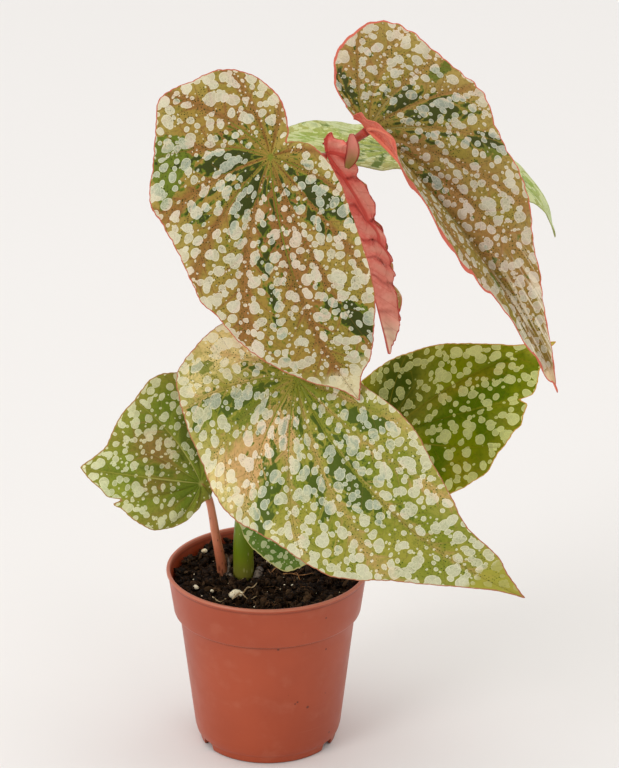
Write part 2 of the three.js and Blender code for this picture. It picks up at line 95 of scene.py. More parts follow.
# Filling
SOIL_LEVEL = 87
SOIL_RADIUS = 48.3
SOIL_ROUGHNESS = 1.1
SOIL_SEGMENTS = 180
SOIL_RINGS = 44
MOUND_HEIGHT = 0.6
MOUND_AT = (-15, 8)
MOUND_SPREAD = 300
HEAP_HEIGHT = 3.4  # how much higher the filling lies along the wall at the left and behind
HEAP_WIDTH = 13
HEAP_RADIUS = 48  # where it is highest
CRUMB_COUNT = 4700
CRUMB_SEED = 11
CRUMB_SIZES = (0.26, 2.4, 4.2)  # the least, how much more the largest have, and how rare these are
CRUMB_GRAIN = 0.17  # how uneven a crumb is, as a share of its size
FIBRE_COUNT = 150
FIBRE_REACH = 32
FIBRE_LENGTHS = (2, 5.5)
FIBRE_HEIGHTS = (0.8, 2.6)
FIBRE_RADIUS = 0.16
ROOT_RADIUS = 0.42
TWIG_RADIUS = 0.36
# Small white grit strewn over the filling, as painted glints on the damp peat
GLINT_GRIT_COUNT = 75
GLINT_GRIT_REACH = 45
GLINT_GRIT_SIZES = (0.22, 0.5)
LIE = 0.7  # how much higher roots, twigs and scales lie than the filling's crumbs
STEM_FEET = [(-12.5, 8, 5.8), (-23.3, 9.6, 3.4)]  # x, y and radius
FOOT_REACH = 8.5
PERLITE = [  # x, y and radius
    (-16.6, -19, 2.8), (-14.4, -16, 2), (-13.6, -18.6, 1.9), (-33.6, 30.1, 1.7), (-0.2, 1.9, 0.9),
    (-6.4, -4.1, 0.8), (12.9, -7.7, 0.7), (-36.7, -14.8, 1.3), (-28.5, -12.5, 0.9), (0.6, 20.2, 1.6),
]
# Paths over the filling: x, y and height above its crumbs; a scale's has half its width too
ROOTS = [
    [(-17.9, -24.3, 2.5), (-13.8, -23.1, 2.9), (-9.2, -23.1, 2.6), (-5.1, -21.9, 2.9)],
    [(-12.3, -19.6, 2.8), (-9.8, -14.8, 3.3), (-7.8, -13.6, 2.9), (-4.3, -6.5, 3.3)],
    [(-28, -26, 2.3), (-24, -27.5, 2.7), (-21, -25, 2.5)],
]
TWIGS = [
    [(8.1, 4.4, 3.3), (12.8, 5.6, 3.5), (17, 3.1, 3.3), (24, 3.4, 2.7)],
    [(0.2, 11.6, 2.9), (1.8, 8, 3.5), (4.4, 8, 3.7), (9, 6, 3.1)],
    [(14, 6, 2.7), (15.4, 1, 3.7), (17, -2, 2.5)],
]
SCALES = [
    ([(-9, -0.8, 1.2), (-5.6, 2.6, 2.8), (-3.8, 8, 3.2), (-3.4, 13, 2.2)], 2.2),
    ([(-16.4, 2.5, 1.5), (-19, 4, 3.2), (-22, 6, 2.2)], 1.6),
    ([(-21.4, 2, 1.2), (-20, 7, 5.2), (-20.6, 14, 8)], 0.7),
    ([(-4, -2.5, 1.6), (-1.6, 0.5, 2.6), (-0.5, 4.5, 2)], 1.4),
]
SCALE_ROWS = 16
SCALE_THICKNESS = 0.3
SCALE_ACROSS = np.linspace(-1, 1, 7)
SCALE_CUP = 0.5  # its depth, as a share of half its width
PEAT_COLOURS = ["#120B06", "#33200F", "#70553A"]
PERLITE_COLOURS = ["#F2E6C6", "#B09468", "#C4AE80"]  # the lumps, their pores and their dust
LITTER_COLOURS = {
    "peat fibre": ("#6E4C2A", "#3E2A18"),
    "root": ("#C8B088", "#9A7C54"),
    "twig": ("#AE7A48", "#704A2A"),
    "dry stipule": ("#72665A", "#3A3028"),
}

# Curled lobe of the young leaf, beside its stalk
LOBE_PATH = [(40.4, -9, 318), (43.2, -10, 326.4), (42.6, -9.5, 336)]
LOBE_WIDTH = 3.4
LOBE_COLOURS = ["#9A8A48", "#DC9080", "#A63C34"]  # its foot, its top and its border
LOBE_TURN = (323, 336)  # heights between which the first goes over into the second

# Cane and stalks
CANE_PATH = [(-12.8, 7.7, 58), (-12.5, 8, 87), (-12.4, 8, 112), (-8.5, 8, 150),
             (-3.5, 7, 195), (4.5, 8, 238), (15, 7, 274), (21.5, 6.2, 292), (26, 6, 309)]
CANE_RADII = [5.6, 5.5, 4.9, 4.7, 4.5, 4.3, 3.9, 3.5, 2.8]
CANE_NODES = [0.265, 0.35, 0.505, 0.69, 0.82, 0.9]  # share of the cane's length
NODE_SWELLING = 0.9
NODE_LENGTH = 0.014
TIP_PATH = [(25, 6.6, 307), (22.6, 8.6, 312), (20.6, 10.4, 318)]
TIP_RADII = [2.1, 1.9, 0.6]
TUBE_SIDES = 28
STALK_END = 2.2  # how far below the blade's middle a stalk's axis ends
FOOT_STAIN = (89, 104)  # heights between which the browner tone of a stem's foot fades
LENTICELS = (520, 520, 210)  # cells to the metre, in which a stem's specks lie
# Two tones of the skin, tone and greatest size of its lenticels, roughness, and the tone at the foot
STEM_LOOKS = {
    "cane_skin": ("#74860C", "#61760A", "#9A9A58", 0.26, 0.34, "#6E5A2C"),
    "dry_scale": ("#C4A884", "#A98A66", "#8A6A48", 0.2, 0.6, "#6E5A2C"),
    "red_stalk": ("#C25040", "#AC4836", "#D88A74", 0.2, 0.42, "#6E5A2C"),
    "shoot_stalk": ("#E09270", "#C26E4E", "#5E2C1A", 0.3, 0.28, "#7C4A2C"),
    "green_stalk": ("#8A8434", "#8E6C38", "#B0A870", 0.22, 0.42, "#6E5A2C"),
}

# Blades
BLADE_THICKNESS = 0.5
RIB_DEPTH = 0.8  # how far a main vein stands out below the blade, at the junction
RIB_WIDTH = 0.9
RIB_FADE = 0.8
GROOVE_DEPTH = 0.12  # how far it sinks in the upper face
VEIN_PULL = 0.3  # how strongly the veins curve towards the tip
VALLEY = 1  # how round the fold along the midrib is
VALLEY_BEHIND = 0.4
BOW_FADE = 40
QUILT_LEVEL = 0.6
RAY_STEP = 1.25  # distance between two rays at the margin
RING_STEP = 1.9
PUCKER_RING_STEP = 0.9
MARGIN_SHARES = [0.985, 0.996, 1]  # the outermost rings
SIDE_VEIN_STEP = 7.5  # distance between two side veins along a main vein
SIDE_VEIN_LIFT = 0.16

# Light and colour; the lamps' places are in metres
WORLD_COLOUR = (1.0, 1.0, 1.0)
WORLD_STRENGTH = 0.65
SUNS = [
    ("key", (-0.4, 0.1, 1.0), 45, 0.6, (1.0, 0.985, 0.965)),
    ("fill", (0.45, 0.1, 1.0), 50, 0.57, (1.0, 0.99, 0.98)),
]
LAMPS = [("left", (-1.9, -2.0, 1.5), 1.4, 31), ("right", (1.5, -2.3, 1.4), 1.4, 6)]
LAMP_AIM = (0, 0, 0.2)
FLOOR_REACH = 8000
FLOOR_COLOURS = ["#ECE9E6", "#EAE7E4"]
# Two mottled tones; dust, which also paints highlights along the lip and the collar's edge; and the dark
# tone of the specks, which also paints shade under the collar, under the lip and along the foot
POT_COLOURS = ["#A64624", "#9C3F1F", "#C98468", "#2A140C"]

# Layers of spots: cell in millimetres, smallest and largest radius and share of spots in cells, turn
SPOT_LAYERS = [
    (10.5, 0.18, 0.31, 0.62, 0.3),
    (8.6, 0.18, 0.32, 0.64, 1.1),
    (7.2, 0.18, 0.33, 0.62, 2.0),
    (5.6, 0.17, 0.32, 0.56, 2.9),
    (4.0, 0.14, 0.28, 0.34, 3.7),
    (2.8, 0.12, 0.22, 0.24, 4.4),
]
SPOT_EDGE = 0.22  # softness of a spot's outline
SPOT_RIM = 0.45
SPOT_OVERLAP = 0.7  # how much a spot hides the rims of those below it
DARK, WARM, BRIGHT, PALE = range(4)


class Look(SimpleNamespace):
    """Colours and patterns of a blade, as seen in even light.

    base: two tones of the upper face; outer: towards its margin, as strongly as fringe says; warm: along
    the main veins, as strongly as bands says; bright and dark: patches, dark ones also between the veins,
    as streaks says; rough: how jagged these are. spot: spots on base and on warm; cool: on dark patches;
    rim: their rims; fill: how opaque they are; spots: their size; stretch: how narrow and how short they
    are; least: radius of the smallest. specks: how many dark specks. vein: by the junction and further
    out. margin, tip: the border, and the tip from tip_from millimetres on. under: the lower face's two
    tones, spots, veins, pale and deep patches. gloss: roughness; sheen: specular level. pleats: how far
    out painted highlights along the pleats start and are full, in the rim tone.
    """
    stretch = (1, 1)
    rough = 1
    fringe = 0.8
    least = 0.3
    gloss = 0.42
    sheen = 0.12
    pleats = None


LOOKS = {
    "olive": Look(
        base=("#967A34", "#8A7A2E"), outer="#A08A42", warm="#8E6230", bright="#546C12", dark="#30360C",
        spot=("#CAC7B0", "#DED0BA"), cool="#A3AF9A", rim="#ECE3C5", fill=0.86,
        vein=("#6F7D24", "#7C5A26"), margin="#B8604A",
        under=("#B54E3F", "#A44435", "#CE8767", "#D47155", "#BD674B", "#923D2F"), spots=1.12, specks=1.2,
        gloss=0.44, bands=0.75, streaks=0.3, tip="#D6CBA0", tip_from=112,
    ),
    "brown": Look(
        base=("#957A3C", "#8E7D32"), outer="#A38A47", warm="#9A703C", bright="#57661C", dark="#383C12",
        spot=("#C7C4B2", "#D6C8B9"), cool="#A1AB9C", rim="#EBDDC0", fill=0.82,
        vein=("#938C52", "#896531"), margin="#CC6955",
        under=("#DC6A54", "#C85A48", "#E89478", "#EC8468", "#D87260", "#B04A3A"), spots=1.02,
        stretch=(1.1, 1), specks=1, pleats=(82, 125), gloss=0.44, bands=0.6, streaks=0.2, tip="#DABD93",
        tip_from=150,
    ),
    "pale": Look(
        base=("#918C34", "#7A8022"), outer="#D2BE78", warm="#C29A62", bright="#68741B", dark="#445413",
        spot=("#CDCBB0", "#E6D9C2"), cool="#A6B29C", rim="#EEE9C3", fill=0.84,
        vein=("#758221", "#7D712B"), margin="#A8694A",
        under=("#9C8143", "#8C7A2F", "#AEA36B", "#AB8549", "#A07F44", "#756724"), spots=1.14,
        stretch=(0.94, 0.94), specks=1.3, fringe=0.35, bands=0.46, streaks=0.38, tip="#9C9636",
        tip_from=132,
    ),
    "shoot": Look(
        base=("#82902A", "#6E8222"), outer="#98963A", warm="#94773A", bright="#949F36", dark="#576519",
        spot=("#E8EABF", "#F2EBC0"), cool="#B9C497", rim="#FFFFCF", fill=0.82,
        vein=("#BEBD66", "#A5A146"), margin="#A8824A",
        under=("#B69D48", "#A0973B", "#DDD37D", "#D5AB5B", "#B99748", "#7E812C"), spots=1.05,
        stretch=(1.1, 1.1), least=0.45, specks=0.3, rough=0.4, gloss=0.38, bands=0.4, streaks=0.25,
        tip="#B6AC51", tip_from=70,
    ),
    "deep": Look(
        base=("#587000", "#788600"), outer="#92921C", warm="#928717", bright="#ABA738", dark="#2F4600",
        spot=("#D6DC96", "#DEDA90"), cool="#B2BA74", rim="#F4FA9C", fill=0.86,
        vein=("#8C8829", "#827B15"), margin="#CFA04E",
        under=("#9B9224", "#88881E", "#C3C047", "#C1A430", "#AB9A27", "#626A0F"), spots=1.1,
        stretch=(1.06, 0.92), least=0.7, specks=0.1, rough=0.1, gloss=0.38, bands=0.3, streaks=0.15,
        sheen=0.05, tip="#CBC058", tip_from=96,
    ),
    "bright": Look(
        base=("#9CB052", "#B0BC66"), outer="#ADA862", warm="#A9A058", bright="#C2C98A", dark="#56701C",
        spot=("#DDE0AA", "#E8E6BC"), cool="#B4BF92", rim="#D9E7AE", fill=0.75,
        vein=("#879D43", "#7B8D37"), margin="#A6AA6A",
        under=("#98AC55", "#8A9F47", "#B0C680", "#9FA657", "#9FAC57", "#6D8933"), spots=1.15,
        stretch=(1.4, 0.75), specks=0.2, rough=0.6, bands=0.35, streaks=0.5, tip="#B8CB8A", tip_from=92,
    ),
    # Its dark tone also paints the shade along the young leaf's creases, and its warm tone the highlights
    # on its pillows
    "pink": Look(
        base=("#9E9646", "#B0A151"), outer="#C9A86F", warm="#DA9671", bright="#B7BB55", dark="#B75042",
        spot=("#FFC2A9", "#FFCFB0"), cool="#FFC2A9", rim="#FFE0C3", fill=0.3, vein=("#E26F5B", "#DC6956"),
        margin="#C95448", under=("#F07A6C", "#FC9484", "#FFBCA8", "#D8584C", "#FFE6C8", "#A83830"),
        spots=0.6, specks=0.0, rough=0.5, gloss=0.45, bands=0.3, streaks=0.0, tip="#FFEEC8", tip_from=88,
    ),
    "low": Look(
        base=("#335A0B", "#456812"), outer="#5B7026", warm="#666A24", bright="#6E7B2D", dark="#214008",
        spot=("#B2BC8C", "#BCC090"), cool="#93A878", rim="#C8C49A", fill=0.8, vein=("#7E863B", "#5E6925"),
        margin="#B0A86A", under=("#665F27", "#585B20", "#7E7D45", "#7A6930", "#665F27", "#3E4714"),
        spots=0.9, stretch=(1.4, 1.4), specks=0.15, rough=0.1, gloss=0.4, bands=0.2, streaks=0.2,
        tip="#7E833B", tip_from=44,
    ),
}


class Leaf(SimpleNamespace):
    """Shape and place of a leaf.

    junction: where its blade meets its stalk; tip: where its tip is; face: which way its upper face looks.
    droop: degrees by which the midrib bends down, after a straight share of its length; bow: how far it
    bends sideways. fold: how steeply a half rises from the midrib, at the junction, along the blade and at
    the tip, in degrees, and over how many millimetres the first of them fades; arch: how much a half
    flattens outwards. outline: degrees round the junction from the tip, and millimetres out; veins end at
    those degrees, and the strong ones are the widest. teeth: their height and length, and the height of
    the margin's waves; wave: height, number and phase of the blade's waves; quilt: height of the pillows
    between veins; relief: that of the side veins, as a factor. rolled: stretches of the margin that roll
    over, from and to an angle, and their width, shown only by a wider margin tone. pucker: period, slant
    and depth of creases; pleat: period, start and depth of pleats. blotches: tone, degrees, millimetres
    out, half width, half length, strength.
    """
    straight = 0
    fold_left = fold_right = (8, 8, 8, 60)
    arch = (4, 4)
    bow = 0
    pucker = pleat = None
    rolled = ()


LEAVES = [
    Leaf(
        name="upper_left", look="olive", slot="olive_blade", stalk_slot="red_stalk",
        junction=(3, -35, 332.5), tip=(46.6, -58, 214.3), face=(-0.1, -0.8, 0.45), droop=35, bow=9,
        teeth=(0.35, 4.2, 0.35), relief=1.2, wave=(1.3, 9, 0.5), quilt=1.5,
        blotches=((DARK, 101, 22, 7, 12, 0.9), (DARK, 42, 20, 6, 12, 0.8), (DARK, 320, 40, 9, 20, 0.8),
            (DARK, 11, 70, 4, 32, 0.55), (DARK, 348, 88, 9, 16, 0.7), (DARK, 70, 40, 8, 14, 0.4),
            (BRIGHT, 102, 52, 14, 12, 1), (DARK, 104, 46, 4, 8, 0.7), (BRIGHT, 345, 92, 6, 12, 0.8),
            (DARK, 347, 98, 5, 8, 0.6), (WARM, 147, 30, 20, 16, 0.5), (WARM, 0, 26, 14, 22, 0.8),
            (WARM, 358, 60, 10, 36, 0.7), (WARM, 25, 70, 12, 26, 0.4), (PALE, 340, 60, 10, 18, 0.5),
            (PALE, 40, 60, 10, 18, 0.5)),
        veins=(0, 22, 48, 78, 108, 138, 170, 205, 285, 312, 333, 349), strong=(0, 48, 108, 138, 312),
        outline=((0, 130), (2, 121), (8, 111), (16, 99), (24, 88), (32, 77), (40, 72), (48, 65),
            (60, 59), (75, 58), (90, 62), (105, 60), (121, 61), (135, 64), (150, 56), (166, 50),
            (180, 42), (193, 33), (206, 25), (220, 17), (236, 12), (244, 10), (254, 12), (270, 19),
            (287, 28), (302, 38), (316, 51), (327, 68), (336, 85), (344, 98), (351, 111), (356, 118),
            (360, 130)),
        stalk=((13, 7.2, 268), (9, -8, 290), (5, -25, 314), (3, -35, 332.5)), stalk_radii=(2.6, 2.1, 2),
    ),
    Leaf(
        name="upper_right", look="brown", slot="brown_blade", stalk_slot="red_stalk",
        junction=(51, 0, 335), tip=(146, -20, 203), face=(0.75, -0.75, 0.25), droop=25, straight=0.1,
        fold_left=(66, 50, 18, 32), fold_right=(30, 38, 38, 60), arch=(2, 3), bow=-4, teeth=(0.6, 7, 0.6),
        relief=1.2, wave=(1.2, 10, 1.2), quilt=1.6, pleat=(6.5, 70, 0.7),
        rolled=((8, 84, 4.5), (180, 240, 1)),
        blotches=((DARK, 199, 26, 5, 15, 0.8), (DARK, 269, 23, 5, 10, 0.7), (DARK, 296, 36, 7, 16, 0.75),
            (DARK, 318, 55, 5, 18, 0.7), (DARK, 352, 41, 3, 9, 0.7), (WARM, 352, 48, 7, 14, 0.8),
            (WARM, 338, 22, 7, 14, 0.8), (WARM, 354, 90, 16, 45, 0.7), (WARM, 213, 38, 20, 20, 0.5),
            (BRIGHT, 273, 46, 5, 9, 0.6), (BRIGHT, 321, 60, 5, 9, 0.7), (BRIGHT, 3, 98, 5, 9, 0.6)),
        veins=(0, 13, 36, 75, 200, 222, 244, 268, 292, 318, 337, 350), strong=(0, 222, 268, 318),
        outline=((0, 166), (2, 150), (5, 126), (8, 108), (13, 94), (20, 79), (27, 64), (37, 53),
            (48, 50), (62, 50), (78, 42), (96, 30), (115, 21), (135, 14), (155, 10), (169, 9), (180, 17),
            (188, 26), (198, 35), (206, 44), (216, 50), (227, 57), (238, 59), (251, 56), (264, 53),
            (280, 54), (295, 59), (309, 61), (319, 66), (328, 76), (337, 87), (345, 98), (350, 112),
            (354, 125), (357, 143), (360, 166)),
        stalk=((22, 6.2, 294), (30.5, 9, 308), (41, 7.5, 324), (51, 0, 335)), stalk_radii=(2.3, 2.1, 2),
    ),
    Leaf(
        name="front", look="pale", slot="pale_blade", stalk_slot="red_stalk", junction=(15.5, -45, 221),
        tip=(128, -92, 123.2), face=(-0.1, -0.8, 0.55), droop=30, bow=16, teeth=(0.35, 4.4, 0.35),
        relief=1.2, wave=(1.3, 9, 2.1), quilt=1.5,
        blotches=((DARK, 114, 42, 9, 20, 0.6), (DARK, 54, 54, 7, 18, 0.9), (DARK, 6, 57, 8, 20, 0.85),
            (DARK, 25, 60, 6, 18, 0.5), (DARK, 335, 48, 8, 16, 0.6), (WARM, 67, 38, 11, 28, 1),
            (WARM, 84, 50, 8, 14, 0.6), (WARM, 40, 30, 5, 16, 0.5), (WARM, 160, 30, 12, 14, 0.5),
            (PALE, 158, 42, 20, 22, 1), (PALE, 128, 56, 14, 10, 0.5), (PALE, 78, 60, 18, 12, 0.9),
            (BRIGHT, 100, 30, 6, 20, 0.6), (BRIGHT, 138, 50, 5, 6, 0.6)),
        veins=(0, 14, 36, 62, 90, 118, 146, 178, 282, 312, 330, 346), strong=(0, 36, 118, 62, 312),
        outline=((0, 158), (1, 146), (4, 132), (8, 120), (14, 107), (21, 99), (28, 92), (36, 82),
            (44, 74), (55, 69), (68, 68), (80, 66), (92, 64), (106, 64), (122, 64), (136, 64), (150, 56),
            (166, 49), (181, 42), (196, 30), (210, 15), (230, 7), (250, 6), (262, 11), (280, 20),
            (300, 29), (315, 42), (323, 59), (330, 72), (338, 84), (346, 101), (351, 114), (354, 133),
            (357, 144), (360, 158)),
        stalk=((-4, 7.2, 190), (1, -10, 200), (9, -30, 211), (15.5, -45, 221)),
        stalk_radii=(2.7, 2.3, 2.1),
    ),
    Leaf(
        name="small_left", look="shoot", slot="green_blade", stalk_slot="shoot_stalk",
        junction=(-34, 0, 144), tip=(-94, -28, 165), face=(-0.3, -0.8, 0.3), droop=25,
        teeth=(0.3, 3.8, 0.3), relief=1, wave=(1, 8, 0.4), quilt=1.1,
        blotches=((DARK, 66, 34, 14, 20, 0.8), (DARK, 80, 30, 8, 14, 0.6), (DARK, 40, 52, 6, 12, 0.4),
            (DARK, 8, 34, 5, 14, 0.45), (WARM, 25, 34, 12, 20, 0.9), (WARM, 350, 30, 8, 14, 0.5),
            (BRIGHT, 350, 50, 10, 12, 0.6), (PALE, 318, 30, 12, 16, 0.8)),
        veins=(0, 18, 38, 58, 82, 210, 275, 300, 325, 344.2), strong=(0, 38, 300),
        outline=((0, 70), (3, 68), (7, 64), (14, 61), (25, 62), (38, 63), (50, 66.5), (60, 64), (67, 58),
            (73, 51), (80, 42), (90, 30), (105, 20), (125, 12), (150, 7), (165, 6), (185, 8), (215, 11),
            (245, 10), (265, 13), (276, 15), (285, 19.5), (293, 24), (300, 28), (307, 32), (315, 37),
            (326, 42), (338, 47.5), (340.5, 50), (342.4, 51.8), (344.2, 47.3), (346.2, 53.2),
            (347.4, 55), (350, 57), (355, 63.5), (360, 70)),
        stalk=((-22, 9, 60), (-23.3, 9.6, 87), (-27, 8, 112), (-30.3, 5.5, 133), (-34, 0, 144)),
        stalk_radii=(3.4, 3, 2.5, 2.1, 2),
    ),
    Leaf(
        name="right", look="deep", slot="green_blade", stalk_slot="green_stalk", junction=(61.5, 40, 153),
        tip=(149.5, 30, 210.7), face=(-0.1, -0.8, 0.4), droop=20, bow=-6, teeth=(0.3, 4, 0.3), relief=0.8,
        wave=(1.2, 9, 1.7), quilt=1.3,
        blotches=((DARK, 322, 28, 18, 30, 0.8), (BRIGHT, 0, 98, 7, 8, 1), (WARM, 3, 55, 6, 45, 0.6),
            (WARM, 52, 50, 12, 14, 0.6), (DARK, 24, 70, 6, 10, 0.4)),
        veins=(0, 16.6, 36, 56, 78, 235, 266, 296, 322, 342), strong=(0, 36, 322),
        outline=((0, 106), (2, 101), (7.4, 92.5), (12.6, 88.5), (15.4, 85), (16.6, 79), (18.4, 82),
            (21.6, 80), (26.5, 78), (29.4, 74.5), (36, 70.5), (38.5, 68), (43, 66.5), (47.5, 65),
            (53.6, 60), (62, 54), (71, 48), (80, 42), (90, 34), (102, 26), (115, 19), (137, 12),
            (165, 8), (190, 6), (214, 8), (237, 16), (256, 27), (274, 30), (294, 33), (310, 38),
            (326, 46), (334, 53), (343, 62), (350, 72), (354, 80), (357, 88), (360, 106)),
        stalk=((-8.8, 8, 150), (12, 20, 148), (40, 36, 147), (61.5, 40, 153)), stalk_radii=(2.6, 2.2, 2),
    ),
    Leaf(
        name="back", look="bright", slot="bright_blade", stalk_slot="green_stalk",
        junction=(68, 60, 304.5), tip=(148, 55, 258.3), face=(0.3, -0.1, 1), droop=75, straight=0.35,
        fold_left=(5, 5, 5, 60), fold_right=(5, 5, 5, 60), arch=(5, 5), teeth=(0.3, 4, 0.4), relief=1,
        wave=(1.2, 9, 0.9), quilt=1.2,
        blotches=((DARK, 150, 40, 10, 16, 0.7), (DARK, 112, 28, 5, 12, 0.7), (DARK, 131, 34, 3, 12, 0.7),
            (DARK, 200, 42, 6, 14, 0.5), (DARK, 0, 60, 8, 26, 0.6), (BRIGHT, 0, 95, 10, 12, 1),
            (BRIGHT, 213, 38, 8, 8, 0.8)),
        veins=(0, 18, 48, 90, 126, 156, 190, 218, 275, 312, 340), strong=(0, 156),
        outline=((0, 102), (3, 94), (7, 84), (10, 77), (19, 70), (29, 62), (41, 51), (53, 40), (71, 33),
            (85, 28), (98, 29), (113, 33), (125, 39), (137, 47), (149, 57), (163, 63), (179, 64),
            (192, 60), (203, 50), (216, 43), (228, 37), (238, 30), (246, 22), (254, 26), (264, 34),
            (282, 37), (302, 39), (320, 43), (332, 50), (340, 60), (346, 73), (351, 85), (355, 91),
            (358, 96), (360, 102)),
        stalk=((19, 6.5, 286), (28, 30, 300), (47, 48, 302), (68, 60, 304.5)), stalk_radii=(2.3, 2, 1.8),
    ),
    Leaf(
        name="young", look="pink", slot="pink_blade", stalk_slot="red_stalk", junction=(31, 0, 323),
        tip=(61.6, -5, 218.8), face=(0.95, -0.15, 0.2), droop=10, fold_left=(74, 76, 70, 60),
        fold_right=(74, 76, 70, 60), arch=(1, 1), teeth=(1.2, 4.6, 0.9), relief=2, wave=(1.6, 14, 0.3),
        quilt=1.2, pucker=(14, 0.5, 1.9),
        blotches=((WARM, 0, 103, 20, 11, 1.2), (WARM, 6, 76, 20, 20, 0.2), (DARK, 357, 96, 9, 0.8, 1)),
        veins=(0, 15, 70, 142, 235, 300, 345), strong=(0,),
        outline=((0, 110.5), (2.5, 105), (4.5, 100), (7, 94), (8, 88), (9, 82), (10, 76), (12, 70),
            (15, 64), (18, 57), (19, 51), (20, 45), (23, 39), (27, 34), (31, 28), (36, 23), (48, 18),
            (66, 15.5), (92, 15), (112, 13), (127, 14), (142, 11), (158, 8), (180, 5), (200, 5),
            (218, 7), (233, 9), (250, 9), (270, 9), (295, 10), (312, 14), (325, 19), (332, 26),
            (338, 33), (343, 42), (345, 50), (347, 58), (349, 67), (350.2, 75), (351, 83), (351.8, 90.5),
            (353, 94.5), (354.5, 97.7), (357.5, 104), (360, 110.5)),
        stalk=((25, 6.2, 304), (27.2, 2.8, 309), (29, 0.8, 315), (29.6, 0.2, 320.5)),
        stalk_radii=(1.7, 1.6, 1.5),
    ),
    Leaf(
        name="low", look="low", slot="green_blade", stalk_slot="green_stalk", junction=(4, -15, 148),
        tip=(35, -38, 120), face=(-0.3, -0.8, 0.4), droop=25, teeth=(0.25, 3.6, 0.25), relief=0.8,
        wave=(0.8, 7, 1.1), quilt=0.8, blotches=((DARK, 20, 25, 10, 14, 0.6),),
        veins=(0, 26, 54, 88, 130, 318, 340), strong=(0,),
        outline=((0, 48), (3, 45), (14, 43), (25, 43), (34, 43), (44, 38), (55, 34), (70, 30), (85, 26),
            (100, 24), (118, 21), (140, 16), (165, 11), (200, 7), (240, 6), (285, 7), (301, 10),
            (317, 16), (329, 22), (342, 29), (352, 35), (357, 42), (360, 48)),
        stalk=((-11, 7.8, 127), (-7, 0, 134), (-1.5, -8, 140), (4, -15, 148)),
        stalk_radii=(1.9, 1.6, 1.5),
    ),
]


def unit(vector):
    return vector / np.linalg.norm(vector)


def share_of(values, share):
    """The value that lies at a share of the way along a list."""
    return float(np.interp(share * (len(values) - 1), range(len(values)), values))


# Meshes

def new_piece(name, points, faces, smooth=True):
    """An object from points in millimetres."""
    mesh = bpy.data.meshes.new(name)
    mesh.from_pydata((np.asarray(points) * MM).tolist(), [], faces)
    mesh.polygons.foreach_set("use_smooth", [smooth] * len(mesh.polygons))
    piece = bpy.data.objects.new(name, mesh)
    bpy.context.scene.collection.objects.link(piece)
    return piece


def add_attribute(piece, name, values):
    attribute = piece.data.attributes.new(name, "FLOAT_VECTOR", "POINT")
    attribute.data.foreach_set("vector", np.asarray(values, np.float32).ravel())


def dress(piece, slot, material, *nodes):
    piece.data.materials.append(material)
    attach(piece, "root")
    if nodes:
        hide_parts(*nodes)


def grid_faces(rows, columns):
    """Quads of a grid that closes on itself along its columns."""
    faces = []
    for a in range(0, (rows - 1) * columns, columns):
        for column in range(columns):
            beside = (column + 1) % columns
            faces.append((a + column, a + beside, a + columns + beside, a + columns + column))
    return faces


def closed_faces(rows, columns):
    """The same, and triangles to two more points, one for the first row and one for the last."""
    faces = grid_faces(rows, columns)
    first = rows * columns
    top = first - columns
    for k in range(columns):
        beside = (k + 1) % columns
        faces.append((first, beside, k))
        faces.append((first + 1, top + k, top + beside))
    return faces


def turned(profile, segments):
    """Points and faces of a profile of [radius, height] turned about Z; both its ends are on the axis."""
    turn = np.linspace(0, TURN, segments, endpoint=False)
    rings = np.array(profile[1:-1], float)
    radius, height = rings[:, :1], rings[:, 1:]
    points = np.stack([radius * np.cos(turn), radius * np.sin(turn), height + 0 * turn], -1).reshape(-1, 3)
    points = np.vstack([points, [0, 0, profile[0][1]], [0, 0, profile[-1][1]]])
    return points, closed_faces(len(rings), segments)


def curve_through(path, count):
    """Evenly spaced points on the centripetal Catmull-Rom curve through a path, and its length."""
    path = np.array(path, float)
    knots = np.vstack([2 * path[0] - path[1], path, 2 * path[-1] - path[-2]])
    fine = []
    share = np.linspace(0, 1, 40, endpoint=False)[:, None]
    square, cube = share ** 2, share ** 3
    for a, b, c, d in zip(knots, knots[1:], knots[2:], knots[3:]):
        before, here, after = (math.sqrt(np.linalg.norm(q - p)) for p, q in ((a, b), (b, c), (c, d)))
        slope_b = ((b - a) / before - (c - a) / (before + here) + (c - b) / here) * here
        slope_c = ((c - b) / here - (d - b) / (here + after) + (d - c) / after) * here
        fine.append(b * (2 * cube - 3 * square + 1) + slope_b * (cube - 2 * square + share)
                    + c * (3 * square - 2 * cube) + slope_c * (cube - square))
    fine = np.vstack([*fine, path[-1:]])
    run = np.concatenate([[0], np.cumsum(np.linalg.norm(np.diff(fine, axis=0), axis=1))])
    steps = np.linspace(0, run[-1], count)
    return np.stack([np.interp(steps, run, fine[:, k]) for k in range(3)], -1), run[-1]


def tube(path, radius_at, step=1.2, sides=TUBE_SIDES, ripple=0.0):
    """Points and faces of a round tube along a path, closed at both ends."""
    length = curve_through(path, 2)[1]
    count = max(8, int(length / step))
    centres = curve_through(path, count)[0]
    ahead = np.gradient(centres, axis=0)
    turn = np.linspace(0, TURN, sides, endpoint=False)
    side = unit(np.cross(ahead[0], [0.3, 1, 0.1]))
    rings = []
    for i, centre in enumerate(centres):
        along = unit(ahead[i])
        side = unit(side - along * (side @ along))
        other = np.cross(along, side)
        wave = 1 + ripple * np.sin(3 * turn + 0.9 * i * step / 6) * math.sin(0.37 * i * step)
        radius = radius_at(i / (count - 1)) * wave
        across = np.outer(radius * np.cos(turn), side)
        rings.append(centre + across + np.outer(radius * np.sin(turn), other))
    return np.vstack([*rings, centres[:1], centres[-1:]]), closed_faces(count, sides)


# Leaf blades

